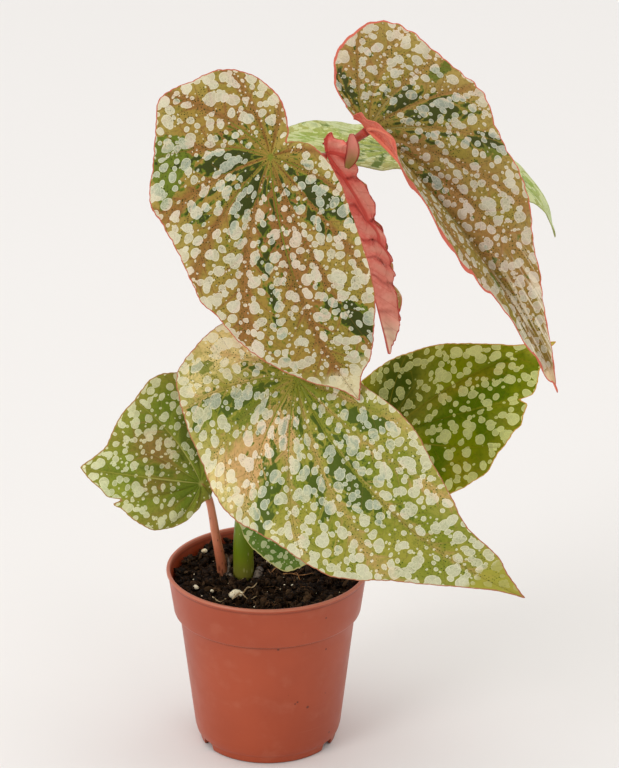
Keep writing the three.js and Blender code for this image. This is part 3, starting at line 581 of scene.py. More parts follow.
def leaf_axes(leaf):
    """Axes at the junction, length of the midrib and how it bends down."""
    start = np.array(leaf.junction, float)
    chord = np.array(leaf.tip, float) - start
    along = unit(chord)
    up = np.array(leaf.face, float)
    up = unit(up - along * (up @ along))
    turn = math.radians(leaf.droop)
    bent = 1 - leaf.straight
    forward = leaf.straight + bent * math.sin(turn) / turn
    down = bent * (1 - math.cos(turn)) / turn
    arc = np.linalg.norm(chord) / math.hypot(forward, down)
    lean = math.atan2(down, forward)
    t = along * math.cos(lean) + up * math.sin(lean)
    n = up * math.cos(lean) - along * math.sin(lean)
    return SimpleNamespace(start=start, x=np.cross(t, n), t=t, n=n, arc=arc,
                           bend_from=leaf.straight * arc, bend=turn / (bent * arc))


def fold_at(fold, y, arc):
    base, rest, end, reach = fold
    ahead = np.maximum(y, 0)
    return np.radians(rest + (end - rest) * ahead / arc + (base - rest) * np.exp(-((ahead / reach) ** 2)))


def blade_points(leaf, axes, x, y, lift):
    """Flat places on the blade, and a lift above it, carried to the bent and folded blade."""
    left = x >= 0
    fold = np.where(left, fold_at(leaf.fold_left, y, axes.arc), fold_at(leaf.fold_right, y, axes.arc))
    flatten = np.where(left, *leaf.arch) / 1000
    soft = VALLEY + VALLEY_BEHIND * np.maximum(-y, 0)
    out = np.hypot(x, soft) - soft
    drop = 0.5 * flatten * out ** 2
    tilt = x / np.hypot(x, soft)
    share = y / axes.arc
    bow = leaf.bow * 4 * share * np.where(y > 0, 1 - share, np.exp(np.minimum(y, 0) / BOW_FADE))
    across = x * np.cos(fold) + (np.where(left, 1, -1) * drop - tilt * lift) * np.sin(fold) + bow
    rise = out * np.sin(fold) + (lift - drop) * np.cos(fold)
    turn = axes.bend * np.maximum(y - axes.bend_from, 0)
    forward = np.minimum(y, axes.bend_from) + np.sin(turn) / axes.bend + rise * np.sin(turn)
    up = rise * np.cos(turn) - (1 - np.cos(turn)) / axes.bend
    return axes.start + across[..., None] * axes.x + forward[..., None] * axes.t + up[..., None] * axes.n


def outline_radius(outline, angle):
    """Smooth curve through the outline's points."""
    knots, radii = np.array(outline, float).T
    slopes = np.empty(len(knots))
    slopes[1:-1] = (radii[2:] - radii[:-2]) / (knots[2:] - knots[:-2])
    slopes[0] = (radii[1] - radii[0]) / (knots[1] - knots[0])
    slopes[-1] = (radii[-1] - radii[-2]) / (knots[-1] - knots[-2])
    i = np.clip(np.searchsorted(knots, angle) - 1, 0, len(knots) - 2)
    width = knots[i + 1] - knots[i]
    u = (angle - knots[i]) / width
    return ((2 * u ** 3 - 3 * u ** 2 + 1) * radii[i] + (u ** 3 - 2 * u ** 2 + u) * slopes[i] * width
            + (3 * u ** 2 - 2 * u ** 3) * radii[i + 1] + (u ** 3 - u ** 2) * slopes[i + 1] * width)


def blade_rays(leaf):
    """The mesh's rays, closer near the main veins.

    For each: its angle, its share of the way between two veins, the run along the margin up to it and the
    angles of the two veins.
    """
    rays, run = [], 0.0
    veins = [*leaf.veins, 360]
    for low, high in zip(veins, veins[1:]):
        fine = np.linspace(low, high, 160)
        radius = outline_radius(leaf.outline, fine)
        rim = np.stack([radius * np.sin(np.radians(fine)), radius * np.cos(np.radians(fine))], -1)
        length = np.concatenate([[0], np.cumsum(np.linalg.norm(np.diff(rim, axis=0), axis=1))])
        count = max(10, round(length[-1] / RAY_STEP))
        u = np.arange(count) / count
        share = u - 0.5 * np.sin(TURN * u) / TURN
        angle = np.interp(share * length[-1], length, fine)
        rays.append([angle, share, run + share * length[-1], np.full(count, low), np.full(count, high)])
        run += length[-1]
    angle, share, run, low, high = np.hstack(rays)
    return angle, share, run, (low, high)


def bent_angle(turn, share):
    return turn + VEIN_PULL * np.sin(turn) * (1 - share)


def vein_distance(leaf, turn, share, radius, veins):
    """Distance of each flat place to the nearer main vein beside it, and whether that one is strong."""
    here = bent_angle(turn, share)
    best = np.full(here.shape, FAR)
    strong = np.zeros(here.shape)
    for ends in veins:
        vein = np.radians(ends)[:, None]
        reach = outline_radius(leaf.outline, ends)[:, None]
        there = bent_angle(vein, np.minimum(radius / reach, 1))
        away = radius * np.abs(np.sin(np.clip(here - there, -1.5, 1.5)))
        strong = np.where(away < best, np.isin(ends % 360, leaf.strong)[:, None], strong)
        best = np.minimum(best, away)
    return best, strong


def blotch_masks(leaf, angle, radius):
    """Strength of the dark, warm, bright and pale patches at each flat place."""
    masks = np.zeros((*radius.shape, 4))
    for tone, at, out, wide, long, amount in leaf.blotches:
        away = (angle - math.radians(at) + math.pi) % TURN - math.pi
        beside = radius * np.sin(np.clip(away, -1.5, 1.5))
        ahead = radius * np.cos(away) - out
        masks[..., tone] += amount * np.exp(-((beside / wide) ** 2) - (ahead / long) ** 2)
    return np.clip(masks, 0, 1)


def rolled_margin(leaf, angle):
    """Width in millimetres of a margin that rolls over, by its angle."""
    width = 0 * angle
    for start, end, most in leaf.rolled:
        share = np.clip((angle - start) / (end - start), 0, 1)
        width = np.maximum(width, most * np.sin(math.pi * share))
    return width


def blade_shares(leaf):
    """Shares of the way to the margin at which the mesh has its rings."""
    step = PUCKER_RING_STEP if leaf.pucker else RING_STEP
    rings = round(max(out for _, out in leaf.outline) / step)
    inner = np.linspace(0, 1, rings + 1)[1:-1]
    return np.concatenate([inner[inner < MARGIN_SHARES[0]], MARGIN_SHARES])


def toothed(leaf, rim, run):
    """The outline's radii with rows of larger and smaller teeth."""
    tooth, period, _ = leaf.teeth
    rim = rim + tooth * (np.abs(np.sin(math.pi * run / period + np.sin(run / 31))) - 0.6)
    return rim + 0.5 * tooth * np.sin(run / 1.7 + 2 * np.sin(run / 9))


def blade_lift(leaf, shares, turn, panel, run, radius, away):
    """Height above the folded blade: waves, pillows between the veins, a waved margin and side veins."""
    height, waves, phase = leaf.wave
    lift = height * shares ** 3 * np.sin(waves * turn + phase)
    lift = lift + leaf.quilt * (panel - QUILT_LEVEL) * 4 * shares * (1 - shares)
    lift = lift + leaf.teeth[2] * shares ** 8 * np.sin(run / 3.1 + 1.5 * np.sin(run / 13))[:, None]
    side_veins = np.cos(TURN * (radius - away) / SIDE_VEIN_STEP)
    return lift - SIDE_VEIN_LIFT * leaf.relief * side_veins * np.clip(away / 4, 0, 1) * (1 - shares ** 4)


def pucker(leaf, x, y, lift, shares, tones):
    """Moves a puckered blade's places, and paints shade along its creases and highlights on its pillows'
    tops.
    """
    period, slant, depth = leaf.pucker
    place = y - slant * np.abs(x) + 3.5 * np.sin(y / 9) + 1.5 * np.sin(x / 3 + y / 5)
    puckers = np.sqrt(np.sin(math.pi * place / period) ** 2 + 0.02) - 0.05
    lift = lift - depth * (puckers - 0.5) * np.clip(np.abs(x) / 8, 0, 1)
    x = x + np.sign(x) * 3.4 * (puckers - 0.65) * np.clip((np.abs(x) - 3) / 8, 0, 1)
    # Painted shade along the creases, in the dark tone, and painted highlights on the pillows' tops, in
    # the warm tone
    crease = (1 - shares ** 6) * np.exp(-((puckers / 0.2) ** 2))
    ridge = 0.4 * puckers ** 3 * np.clip(np.abs(x) / 7, 0, 1)
    tones[..., DARK] = np.maximum(tones[..., DARK], crease)
    tones[..., WARM] = np.maximum(tones[..., WARM], ridge)
    return x, lift


def pleats(leaf, x, y):
    period, start, depth = leaf.pleat
    return depth * np.sin(TURN * (x + 1.2 * np.sin(y / 17)) / period) * np.clip((y - start) / 50, 0, 1)


def blade_shell(leaf, x, y, lift, shares, away):
    """Points of the upper face and of the lower one, with grooves and ribs along the main veins."""
    axes = leaf_axes(leaf)
    grid = blade_points(leaf, axes, x, y, lift)
    centre = blade_points(leaf, axes, np.zeros(1), np.zeros(1), np.zeros(1))
    outward = np.gradient(grid, axis=1)
    around = np.roll(grid, -1, 0) - np.roll(grid, 1, 0)
    normal = np.cross(around, outward)
    normal /= np.linalg.norm(normal, axis=-1, keepdims=True)
    thin = 1 - 0.6 * np.clip((shares - 0.98) / 0.02, 0, 1) ** 2
    half = BLADE_THICKNESS / 2 * thin
    rib = np.exp(-((away / RIB_WIDTH) ** 2)) * (1 - RIB_FADE * shares)
    upper = grid + normal * (half - GROOVE_DEPTH * rib)[..., None]
    lower = grid - normal * (half + RIB_DEPTH * rib)[..., None]
    middle = unit(normal[:, 0].mean(0))
    return np.vstack([centre + middle * BLADE_THICKNESS / 2, upper.reshape(-1, 3),
                      centre - middle * (BLADE_THICKNESS / 2 + RIB_DEPTH), lower.reshape(-1, 3)])


def blade_faces(rays, rings):
    faces = []
    below = 1 + rays * rings
    for i in range(rays):
        a = 1 + i * rings
        b = 1 + (i + 1) % rays * rings
        faces.append((0, b, a))
        faces.append((below, below + a, below + b))
        for j in range(rings - 1):
            faces.append((a + j, b + j, b + j + 1, a + j + 1))
            faces.append((below + a + j, below + a + j + 1, below + b + j + 1, below + b + j))
        faces.append((a + rings - 1, b + rings - 1, below + b + rings - 1, below + a + rings - 1))
    return faces


def add_to_faces(piece, name, values, centre=(0, 0, 0), below=(1, 1, 1)):
    """Three values for each point of the upper face and then, scaled, of the lower one."""
    upper = np.vstack([[centre], np.stack(np.broadcast_arrays(*values), -1).reshape(-1, 3)])
    add_attribute(piece, name, np.vstack([upper, upper * below]))


def blade(leaf):
    """A leaf's blade, with the places, zones, lines, tones and trim that its finish reads."""
    angle, panel_share, run, veins = blade_rays(leaf)
    shares = blade_shares(leaf)[None, :]
    turn = np.radians(angle)[:, None]
    rim = toothed(leaf, outline_radius(leaf.outline, angle), run)
    radius = rim[:, None] * shares
    bent = bent_angle(turn, shares)
    x, y = radius * np.sin(bent), radius * np.cos(bent)
    panel = np.sin(math.pi * panel_share)[:, None]
    away, strong = vein_distance(leaf, turn, shares, radius, veins)
    lift = blade_lift(leaf, shares, turn, panel, run, radius, away)
    tones = blotch_masks(leaf, bent, radius)
    if leaf.pucker:
        x, lift = pucker(leaf, x, y, lift, shares, tones)
    if leaf.pleat:
        lift = lift + pleats(leaf, x, y)
    points = blade_shell(leaf, x, y, lift, shares, away)
    piece = new_piece(f"fine_leaf_{leaf.name}", points, blade_faces(len(angle), shares.size))
    slope = np.gradient(rim, np.unwrap(turn[:, 0]))
    edge = (rim * rim / np.hypot(rim, slope))[:, None] * (1 - shares)
    add_to_faces(piece, "flat", [x, y, 0])
    add_to_faces(piece, "zone", [panel, shares, 1], (0, 0, 1), (1, 1, 0))
    add_to_faces(piece, "line", [away, edge, 0], (0, rim.min(), 0))
    add_to_faces(piece, "tone", [tones[..., k] for k in (DARK, WARM, BRIGHT)])
    add_to_faces(piece, "trim", [tones[..., PALE], rolled_margin(leaf, angle)[:, None], strong])
    return piece


# Finishes

def paint(text):
    """A linear colour from its hexadecimal sRGB form."""
    parts = [int(text[k:k + 2], 16) / 255 for k in (1, 3, 5)]
    return (*[p / 12.92 if p <= 0.04045 else ((p + 0.055) / 1.055) ** 2.4 for p in parts], 1)


class Value:
    """What a node gives, with arithmetic that adds Math nodes."""

    def __init__(self, finish, socket):
        self.finish = finish
        self.socket = socket

    def __add__(self, other):
        return self.finish.math("ADD", self, other)

    def __sub__(self, other):
        return self.finish.math("SUBTRACT", self, other)

    def __rsub__(self, other):
        return self.finish.math("SUBTRACT", other, self)

    def __mul__(self, other):
        return self.finish.math("MULTIPLY", self, other)

    def __truediv__(self, other):
        return self.finish.math("DIVIDE", self, other)

    __radd__ = __add__
    __rmul__ = __mul__


class Finish:
    """A material with one Principled shader, and short calls for the nodes that lead to it."""

    def __init__(self, name, roughness=0.5, sheen=0.5):
        self.material = bpy.data.materials.new(name)
        self.material.use_nodes = True
        self.tree = self.material.node_tree
        self.inputs = self.tree.nodes["Principled BSDF"].inputs
        self.put(self.inputs["Roughness"], roughness)
        self.put(self.inputs["Specular IOR Level"], sheen)

    def put(self, socket, value):
        if isinstance(value, Value):
            self.tree.links.new(value.socket, socket)
        else:
            socket.default_value = paint(value) if isinstance(value, str) else value

    def add(self, kind, inputs, outputs=(0,), **settings):
        """The wanted outputs of a new node whose inputs are values, numbers or colours."""
        node = self.tree.nodes.new(kind)
        for key, value in settings.items():
            setattr(node, key, value)
        for key, value in inputs.items():
            self.put(node.inputs[key], value)
        values = [Value(self, node.outputs[key]) for key in outputs]
        return values if len(values) > 1 else values[0]

    def math(self, operation, *values, clamp=False):
        return self.add("ShaderNodeMath", dict(enumerate(values)), operation=operation, use_clamp=clamp)

    def most(self, first, second):
        return self.math("MAXIMUM", first, second)

    def step(self, value, low, high, start=0.0, end=1.0):
        """Smooth step of a value from start to end between low and high."""
        inputs = {"Value": value, "From Min": low, "From Max": high, "To Min": start, "To Max": end}
        return self.add("ShaderNodeMapRange", inputs, interpolation_type="SMOOTHSTEP")

    def mix(self, share, first, second):
        return self.add("ShaderNodeMix", {0: share, 6: first, 7: second}, (2,), data_type="RGBA")

    def attribute(self, name):
        return self.add("ShaderNodeAttribute", {}, ("Vector",), attribute_name=name)

    def here(self):
        """The place on the piece, in metres."""
        return self.add("ShaderNodeTexCoord", {}, ("Object",))

    def vector(self, operation, *values, output="Vector"):
        return self.add("ShaderNodeVectorMath", dict(enumerate(values)), (output,), operation=operation)

    def split(self, vector):
        return self.add("ShaderNodeSeparateXYZ", {0: vector}, (0, 1, 2))

    def place(self, vector, turn=0.0, shift=(0, 0, 0), scale=(1, 1, 1)):
        inputs = {"Vector": vector, "Rotation": (0, 0, turn), "Location": shift, "Scale": scale}
        return self.add("ShaderNodeMapping", inputs)

    def noise(self, vector, scale, detail=2.0, flat=False, output=0):
        inputs = {"Vector": vector, "Scale": scale, "Detail": detail}
        return self.add("ShaderNodeTexNoise", inputs, (output,), noise_dimensions="2D" if flat else "3D")

    def cells(self, vector, scale, feature="F1", flat=True):
        """Distance to the middle of the nearest cell and its random colour, or distance to its edge."""
        inputs = {"Vector": vector, "Scale": scale, "Randomness": 0.9}
        return self.add("ShaderNodeTexVoronoi", inputs, (0, 1),
                        voronoi_dimensions="2D" if flat else "3D", feature=feature)

    def bump(self, height, distance, strength=1.0):
        inputs = {"Height": height, "Distance": distance, "Strength": strength}
        self.put(self.inputs["Normal"], self.add("ShaderNodeBump", inputs))

    def colour(self, value):
        self.put(self.inputs["Base Color"], value)

    def roughness(self, value):
        self.put(self.inputs["Roughness"], value)


def shifted(f, flat, scale, amount):
    """The flat place moved about by a smooth noise."""
    away = f.vector("SUBTRACT", f.noise(flat, scale, 1.0, flat=True, output="Color"), (0.5, 0.5, 0))
    return f.vector("ADD", flat, f.vector("MULTIPLY", away, (amount, amount, 0)))


def spots(f, flat, grow, least):
    """Round pale spots in layers of several sizes: how much of a spot, and how much of its rim, lies here.

    Each layer is a grid of cells with at most one spot, which lies wholly inside its cell. All are grown
    by a factor, and those with less than the least radius in millimetres are left out.
    """
    cover, rim = 0.0, 0.0
    for cell, small, large, kept, turn in SPOT_LAYERS:
        near = f.place(flat, turn, (31 * turn, 17 * turn, 0), (1 / cell, 1 / cell, 1))
        drawn, chance = f.add("ShaderNodeTexWhiteNoise", {"Vector": f.vector("FLOOR", near)},
                              ("Color", "Value"), noise_dimensions="2D")
        tone, _, share = f.split(drawn)
        room = 1 - 2 * large
        centre = f.vector("ADD", f.vector("MULTIPLY", drawn, (room, room, 0)), (large, large, 0))
        away = f.vector("DISTANCE", f.vector("FRACTION", near), centre, output="Value")
        size = f.math("MINIMUM", (share * (large - small) + small) * grow, large)
        size = size * f.math("LESS_THAN", chance, kept)
        size = size * f.math("GREATER_THAN", size, least / cell)
        inner = size - SPOT_EDGE / cell
        disc = f.step(away, inner, size, 1, 0)
        ring = disc * f.step(away, size - SPOT_RIM / cell, inner) * (1 - SPOT_OVERLAP * cover)
        rim = f.most(rim * (1 - SPOT_OVERLAP * disc), ring)
        cover = f.most(cover, disc * f.step(tone, 0, 1, 0.66, 1))
    return cover, rim


def blade_places(f, look):
    """All that a blade's finish knows about a place: the mesh's values and patterns made from them."""
    at = SimpleNamespace(flat=f.attribute("flat"))
    at.panel, at.share, at.side = f.split(f.attribute("zone"))
    at.away, at.edge, _ = f.split(f.attribute("line"))
    at.dark, at.warm, at.bright = f.split(f.attribute("tone"))
    at.pale, at.rolled, at.strong = f.split(f.attribute("trim"))
    at.reach = f.vector("LENGTH", at.flat, output="Value")
    at.broad = f.noise(at.flat, 0.05, 3, flat=True)
    at.fine = f.noise(at.flat, 0.6, 3, flat=True)
    comb = f.math("FRACT", (at.reach - at.away) / SIDE_VEIN_STEP) - 0.5
    comb = f.math("ABSOLUTE", comb)
    off_vein = f.step(at.away, 0.5, 3)
    at.side_vein = f.step(comb, 0.45, 0.5) * off_vein
    at.beside = f.step(comb, 0.3, 0.48) * off_vein
    grow = f.step(at.away, 0.3, 2.2, 0.5, 1) * f.step(at.edge, 1.0, 12.0, 1.25, 1)
    grow = grow * f.step(at.reach, 6, 26, 0.3, 1)
    grow = grow * f.step(at.broad, 0.3, 0.7, 0.85 * look.spots, 1.15 * look.spots)
    loose = shifted(f, f.place(at.flat, scale=(*look.stretch, 1)), 0.07, 3.6)
    at.cover, at.rim = spots(f, shifted(f, loose, 0.35, 0.3), grow, look.least)
    ray = f.place(f.vector("NORMALIZE", at.flat), scale=(10, 10, 1))
    ahead = f.add("ShaderNodeCombineXYZ", {"Z": at.reach * 0.08})
    at.streak = f.noise(f.vector("ADD", ray, ahead), 1, 3)
    jag = at.streak * 1.7 + (f.noise(at.flat, 0.28, 2, flat=True) * 0.8 - 1.25)
    at.jag = jag * look.rough
    return at


def blade_ground(f, look, at):
    """Colour of the upper face below its spots: patches, bands along the main veins, and side veins."""
    band = f.step(at.panel, 0.1, 0.9, 1, 0) * look.bands
    between = f.step(at.panel, 0.3, 0.9) * f.step(at.share, 0.75, 0.35, 0, look.streaks)
    colour = f.mix(f.step(at.broad, 0.38, 0.62), *look.base)
    outer = f.step(at.jag * 8.0 + at.edge, 0, 14, look.fringe, 0) * f.step(at.reach, 65, 95, 1, 0.25)
    at.outer = f.most(outer, f.step(at.pale + at.jag * 0.6, 0.2, 0.8))
    colour = f.mix(at.outer, colour, look.outer)
    heat = f.most(at.warm, band) + at.jag * 0.5 + at.beside * (0.5 * look.bands)
    at.heat = f.step(heat, 0.2, 0.9)
    colour = f.mix(at.heat, colour, look.warm)
    patch = at.dark + between + at.jag * f.step(at.reach, 3, 20, 0.3, 1)
    patch = patch - (at.beside * 0.3 + f.step(at.away, 0.3, 1.5, 0.3, 0)) * look.rough
    at.green = f.most(patch, at.bright + at.jag * 0.8)
    soft = 0.3 * (1 - look.rough)
    colour = f.mix(f.step(at.green, 0.32 - soft, 0.42 + soft, 0, 0.85), colour, look.bright)
    at.darkness = f.step(patch, 0.44 - soft, 0.53 + soft, 0, 0.92)
    colour = f.mix(at.darkness, colour, look.dark)
    colour = f.mix(f.step(at.fine, 0.45, 0.75, 0, 0.3), colour, look.dark)
    return f.mix(at.side_vein * 0.42, colour, look.vein[1])


def with_spots(f, look, at, colour):
    """The colour with the pale spots, their rims and their net of fine lines, with painted highlights
    along the pleats, and with the pale tip.
    """
    spot = f.mix(at.heat, *look.spot)
    spot = f.mix(at.outer * 0.5, spot, look.rim)
    cold = f.most(at.darkness * 0.8, f.step(at.green, 0.3, 0.5, 0, 0.55))
    spot = f.mix(cold, spot, look.cool)
    colour = f.mix(at.cover * look.fill, colour, spot)
    net = f.cells(at.flat, 0.42, "DISTANCE_TO_EDGE")[0]
    lines = f.most(f.step(net, 0.01, 0.05, 0.45, 0) * at.cover, at.rim * 0.55)
    colour = f.mix(lines, colour, look.rim)
    if look.pleats:
        # Painted highlights along the pleats, in the rim tone
        pleat = f.noise(f.place(at.flat, scale=(0.5, 0.03, 1)), 1, 2, flat=True)
        pleat = f.step(pleat, 0.48, 0.6) * f.step(at.reach, *look.pleats, 0, 0.75)
        colour = f.mix(pleat, colour, look.rim)
    tip = f.step(at.streak * 16.0 + at.reach, look.tip_from + 6, look.tip_from + 13, 0, 0.8)
    return f.mix(tip, colour, look.tip)


def with_specks(f, look, at, colour):
    """The colour with small dark specks, most of them near the main veins."""
    distance, drawn = f.cells(at.flat, 0.7)
    size = f.split(drawn)[0] * 0.22 + 0.06
    crowd = f.step(f.noise(at.flat, 0.1, 2, flat=True), 0.42, 0.6) + f.step(at.away, 1.0, 3.5, 0.9, 0)
    crowd = crowd * look.specks * f.step(at.edge, 2, 6)
    mark = f.math("MULTIPLY", f.step(distance, size * 0.7, size, 1, 0), crowd, clamp=True)
    return f.mix(mark * (1 - 0.8 * at.cover), colour, look.dark)


def with_veins(f, look, at, colour):
    """The colour with the main veins, the junction and the margin."""
    width = f.math("MINIMUM", f.step(at.share, 0, 1, 0.45, 0.2), at.reach * 0.025 + 0.1)
    width = width * (at.strong * 0.9 + 0.6)
    vein = f.step(at.away, width * 0.4, width, 1, 0) * f.step(at.share, 0.1, 1, 0.9, 0.5)
    brown = f.step(at.share + 0.2 - 0.55 * at.strong, 0.0, 0.2)
    colour = f.mix(vein, colour, f.mix(brown, *look.vein))
    colour = f.mix(f.step(at.reach, 0.8, 2.4, 0.7, 0), colour, look.vein[0])
    border = at.fine * 0.5 + at.edge - at.rolled
    return f.mix(f.step(border, 0.6, 0.95, 1, 0), colour, look.margin)


def lower_face(f, look, at):
    """Colour of the lower face, on which the spots show faintly and the veins stand out."""
    first, second, spot, vein, pale, deep = look.under
    colour = f.mix(f.step(at.fine * 0.4 + at.broad * 0.6, 0.38, 0.62), first, second)
    colour = f.mix(at.warm * 0.9, colour, pale)
    colour = f.mix(at.cover * 0.4, colour, spot)
    colour = f.mix(at.side_vein * 0.4, colour, vein)
    colour = f.mix(at.dark * 0.8, colour, deep)
    colour = f.mix(f.step(at.away, 0.5, 1.2, 0.9, 0), colour, vein)
    return f.mix(f.step(at.edge, 0.3, 0.7, 1, 0), colour, look.margin)


def blade_finish(name, look):
    """A spotted blade, with its two faces."""
    f = Finish(name, sheen=look.sheen)
    at = blade_places(f, look)
    above = blade_ground(f, look, at)
    for layer in (with_spots, with_specks, with_veins):
        above = layer(f, look, at, above)
    f.colour(f.mix(f.step(at.side, 0.45, 0.55), lower_face(f, look, at), above))
    relief = f.cells(at.flat, 2.2)[0] * 0.25 - 0.5 * at.side_vein + 0.15 * at.cover
    f.bump(at.fine * 0.35 + relief, 0.0003, 0.8)
    f.roughness(f.step(at.fine, 0.2, 0.8, look.gloss, look.gloss + 0.12))
    return f.material


def stem_finish(name, first, second, speck, specks, gloss, foot):
    """Smooth stem skin with long streaks and small lenticels, browner just above the filling."""
    f = Finish(name, sheen=0.4)
    place = f.here()
    long = f.noise(f.place(place, scale=(420, 420, 45)), 1, 3)
    base = f.mix(f.step(f.noise(place, 45, 2) * 0.7 + long * 0.3, 0.38, 0.62), first, second)
    low = f.step(f.split(place)[2], *[height * MM for height in FOOT_STAIN], 1, 0)
    base = f.mix(low * 0.6, base, foot)
    distance, drawn = f.cells(f.place(place, scale=LENTICELS), 1, flat=False)
    size = f.split(drawn)[0] * (low * 0.25 + specks)
    mark = f.step(distance, size * 0.5, size, 1, 0)
    f.colour(f.mix(mark * 0.75, base, speck))
    f.bump(mark * 0.5 + long, 0.0002, 0.6)
    f.roughness(f.step(long, 0.3, 0.7, gloss, gloss + 0.12))
    return f.material


def pot_specks(f, place):
    """The few specks of grime, at random and where the pot has its larger ones."""
    distance, drawn = f.cells(place, 260, flat=False)
    size = f.step(f.split(drawn)[0], 0.965, 1) * 0.2
    speck = f.step(distance, size * 0.6, size, 1, 0)
    for *point, radius in POT_SPECKS:
        away = f.vector("DISTANCE", place, [v * MM for v in point], output="Value")
        speck = f.most(speck, f.step(away, 0.4 * radius * MM, radius * MM, 1, 0))
    return speck


def stripe(f, height, low, full, still, high, most):
    """A stripe round the pot, which grows from low to full and fades from still to high."""
    return f.step(height, low * MM, full * MM, 0, most) * f.step(height, still * MM, high * MM, 1, 0)


def pot_finish():
    """Terracotta-coloured plastic: satin, faintly mottled, with dust and a few dark specks; painted
    highlights along the lip and the collar's edge, and painted shade under the collar, under the lip and
    along the foot.
    """
    f = Finish("terracotta plastic", sheen=0.42)
    first, second, dust, dirt_and_shade = POT_COLOURS
    place = f.here()
    height = f.split(place)[2]
    haze = f.noise(place, 90, 4)
    base = f.mix(f.step(f.noise(place, 22, 3), 0.3, 0.7), first, second)
    base = f.mix(f.step(haze, 0.5, 0.8, 0, 0.14), base, dust)
    base = f.mix(pot_specks(f, place) * 0.7, base, dirt_and_shade)
    # Painted highlights, in the dust tone: a lighter band along the top of the lip and a lighter line
    # along the collar's edge
    lip_highlight = f.step(height, (POT_HEIGHT - 1.5) * MM, (POT_HEIGHT - 0.8) * MM, 0, 0.45)
    base = f.mix(f.most(lip_highlight, stripe(f, height, *COLLAR_HIGHLIGHT, 0.22)), base, dust)
    # Painted shade, in the dark tone of the specks: lines under the collar and under the lip, and a band
    # along the bottom of the foot
    shade = f.most(stripe(f, height, *BELOW_COLLAR, 0.4), stripe(f, height, *BELOW_LIP, 0.3))
    base = f.mix(f.most(shade, f.step(height, 0, 0.001, 0.7, 0)), base, dirt_and_shade)
    scratch = f.noise(f.place(place, scale=(25, 25, 1400)), 1, 1)
    f.colour(f.mix(f.step(scratch, 0.66, 0.8, 0, 0.06), base, dust))
    f.bump(f.noise(place, 1500, 2) * 0.3 + haze, 0.00012, 0.5)
    f.roughness(f.step(haze, 0.3, 0.7, 0.36, 0.46))
    return f.material


def soil_finish():
    """Damp peat, a few of its lumps lighter than the rest."""
    f = Finish("peat", 0.7, 0.1)
    dark, mid, light = PEAT_COLOURS
    place = f.here()
    base = f.mix(f.step(f.noise(place, 420, 4), 0.4, 0.65), dark, mid)
    base = f.mix(f.step(f.split(f.attribute("tone"))[0], 0.75, 1, 0, 0.5), base, light)
    f.colour(f.mix(f.step(f.noise(place, 1100, 2), 0.58, 0.78, 0, 0.6), base, light))
    f.bump(f.noise(place, 1300, 5), 0.0011)
    return f.material


def litter_finish(name):
    f = Finish(name, 0.6, 0.25)
    place = f.here()
    f.colour(f.mix(f.step(f.noise(place, 500, 3), 0.35, 0.65), *LITTER_COLOURS[name]))
    f.bump(f.noise(place, 1500, 3), 0.0004)
    return f.material


def mineral_finish():
    """Expanded perlite, dusty with peat."""
    f = Finish("perlite", 0.85)
    lumps, hollows, dust = PERLITE_COLOURS
    place = f.here()
    pores = f.noise(place, 900, 4)
    base = f.mix(f.step(pores, 0.35, 0.5, 1, 0), lumps, hollows)
    f.colour(f.mix(f.step(f.noise(place, 300, 2), 0.5, 0.7, 0, 0.5), base, dust))
    f.bump(pores, 0.0003)
    return f.material


def lobe_finish():
    """The olive inner side of the young leaf's curled lobe, pink above and with a red border."""
    f = Finish("young lobe", sheen=0.2)
    foot, top, border = LOBE_COLOURS
    place = f.here()
    high = f.noise(place, 260, 3) * 0.008 + f.split(place)[2]
    base = f.mix(f.step(high, *[height * MM for height in LOBE_TURN]), foot, top)
    f.colour(f.mix(f.step(f.split(f.attribute("tone"))[0], 0.62, 0.95), base, border))
    return f.material


def floor_finish():
    f = Finish("pale floor", 0.75, 0.15)
    f.colour(f.mix(f.noise(f.here(), 1.5, 2), *FLOOR_COLOURS))
    return f.material


# Pot

def pot_profile():
    """Radius and height round the wall, from the middle of the underside to that of the floor inside."""
    foot, disc, rim, top = FOOT_RADIUS + POT_FULLNESS, FOOT_DISC_RADIUS, RIM_RADIUS, POT_HEIGHT
    body, collar, edge = BODY_RADIUS + POT_FULLNESS, COLLAR_RADIUS + POT_FULLNESS, COLLAR_FOOT
    floor, inside = FOOT_HEIGHT, FOOT_HEIGHT + POT_WALL
    return [
        [0, 0], [disc - 0.4, 0], [disc, 0.2], [disc + 1, floor], [foot - 2, floor], [foot - 1.6, 0.2],
        [foot - 1.3, 0], [foot - 0.9, 0], [foot - 0.2, 0.4], [foot + 0.05, 1.2], [foot + 0.3, 3.2],
        [foot + 0.5, 3.9], [foot + 1.6, 5.3], [foot + 1.8, 5.8], [foot + 2.5, 8.4], [foot + 2.7, 9.6],
        [body, edge - 1.4], [body + 0.3, edge - 0.3], [body + 0.8, edge], [collar - 0.9, edge + 0.2],
        [collar - 0.3, edge + 0.6], [collar, edge + 1.4], [rim - 0.9, top - 2.9], [rim - 0.8, top - 2.4],
        [rim - 0.4, top - 2.1], [rim - 0.1, top - 1.7], [rim, top - 1.1], [rim - 0.1, top - 0.5],
        [rim - 0.45, top - 0.1], [rim - 1, top], [rim - 1.7, top - 0.2], [rim - 2.1, top - 0.8],
        [rim - 2.6, top - 3.2], [collar - 1.5, edge + 1.6], [body - 1.1, edge - 0.4], [foot + 1.4, 9.4],
        [foot - 0.4, inside], [disc + POT_WALL, inside], [disc - 0.2, POT_WALL], [0, POT_WALL],
    ]


def smoothed(profile, step):
    """The profile with long stretches divided, so that shading stays even."""
    points = [profile[0]]
    for a, b in zip(profile, profile[1:]):
        parts = max(1, int(math.dist(a, b) / step))
        for k in range(1, parts + 1):
            points.append([a[0] + (b[0] - a[0]) * k / parts, a[1] + (b[1] - a[1]) * k / parts])
    return points


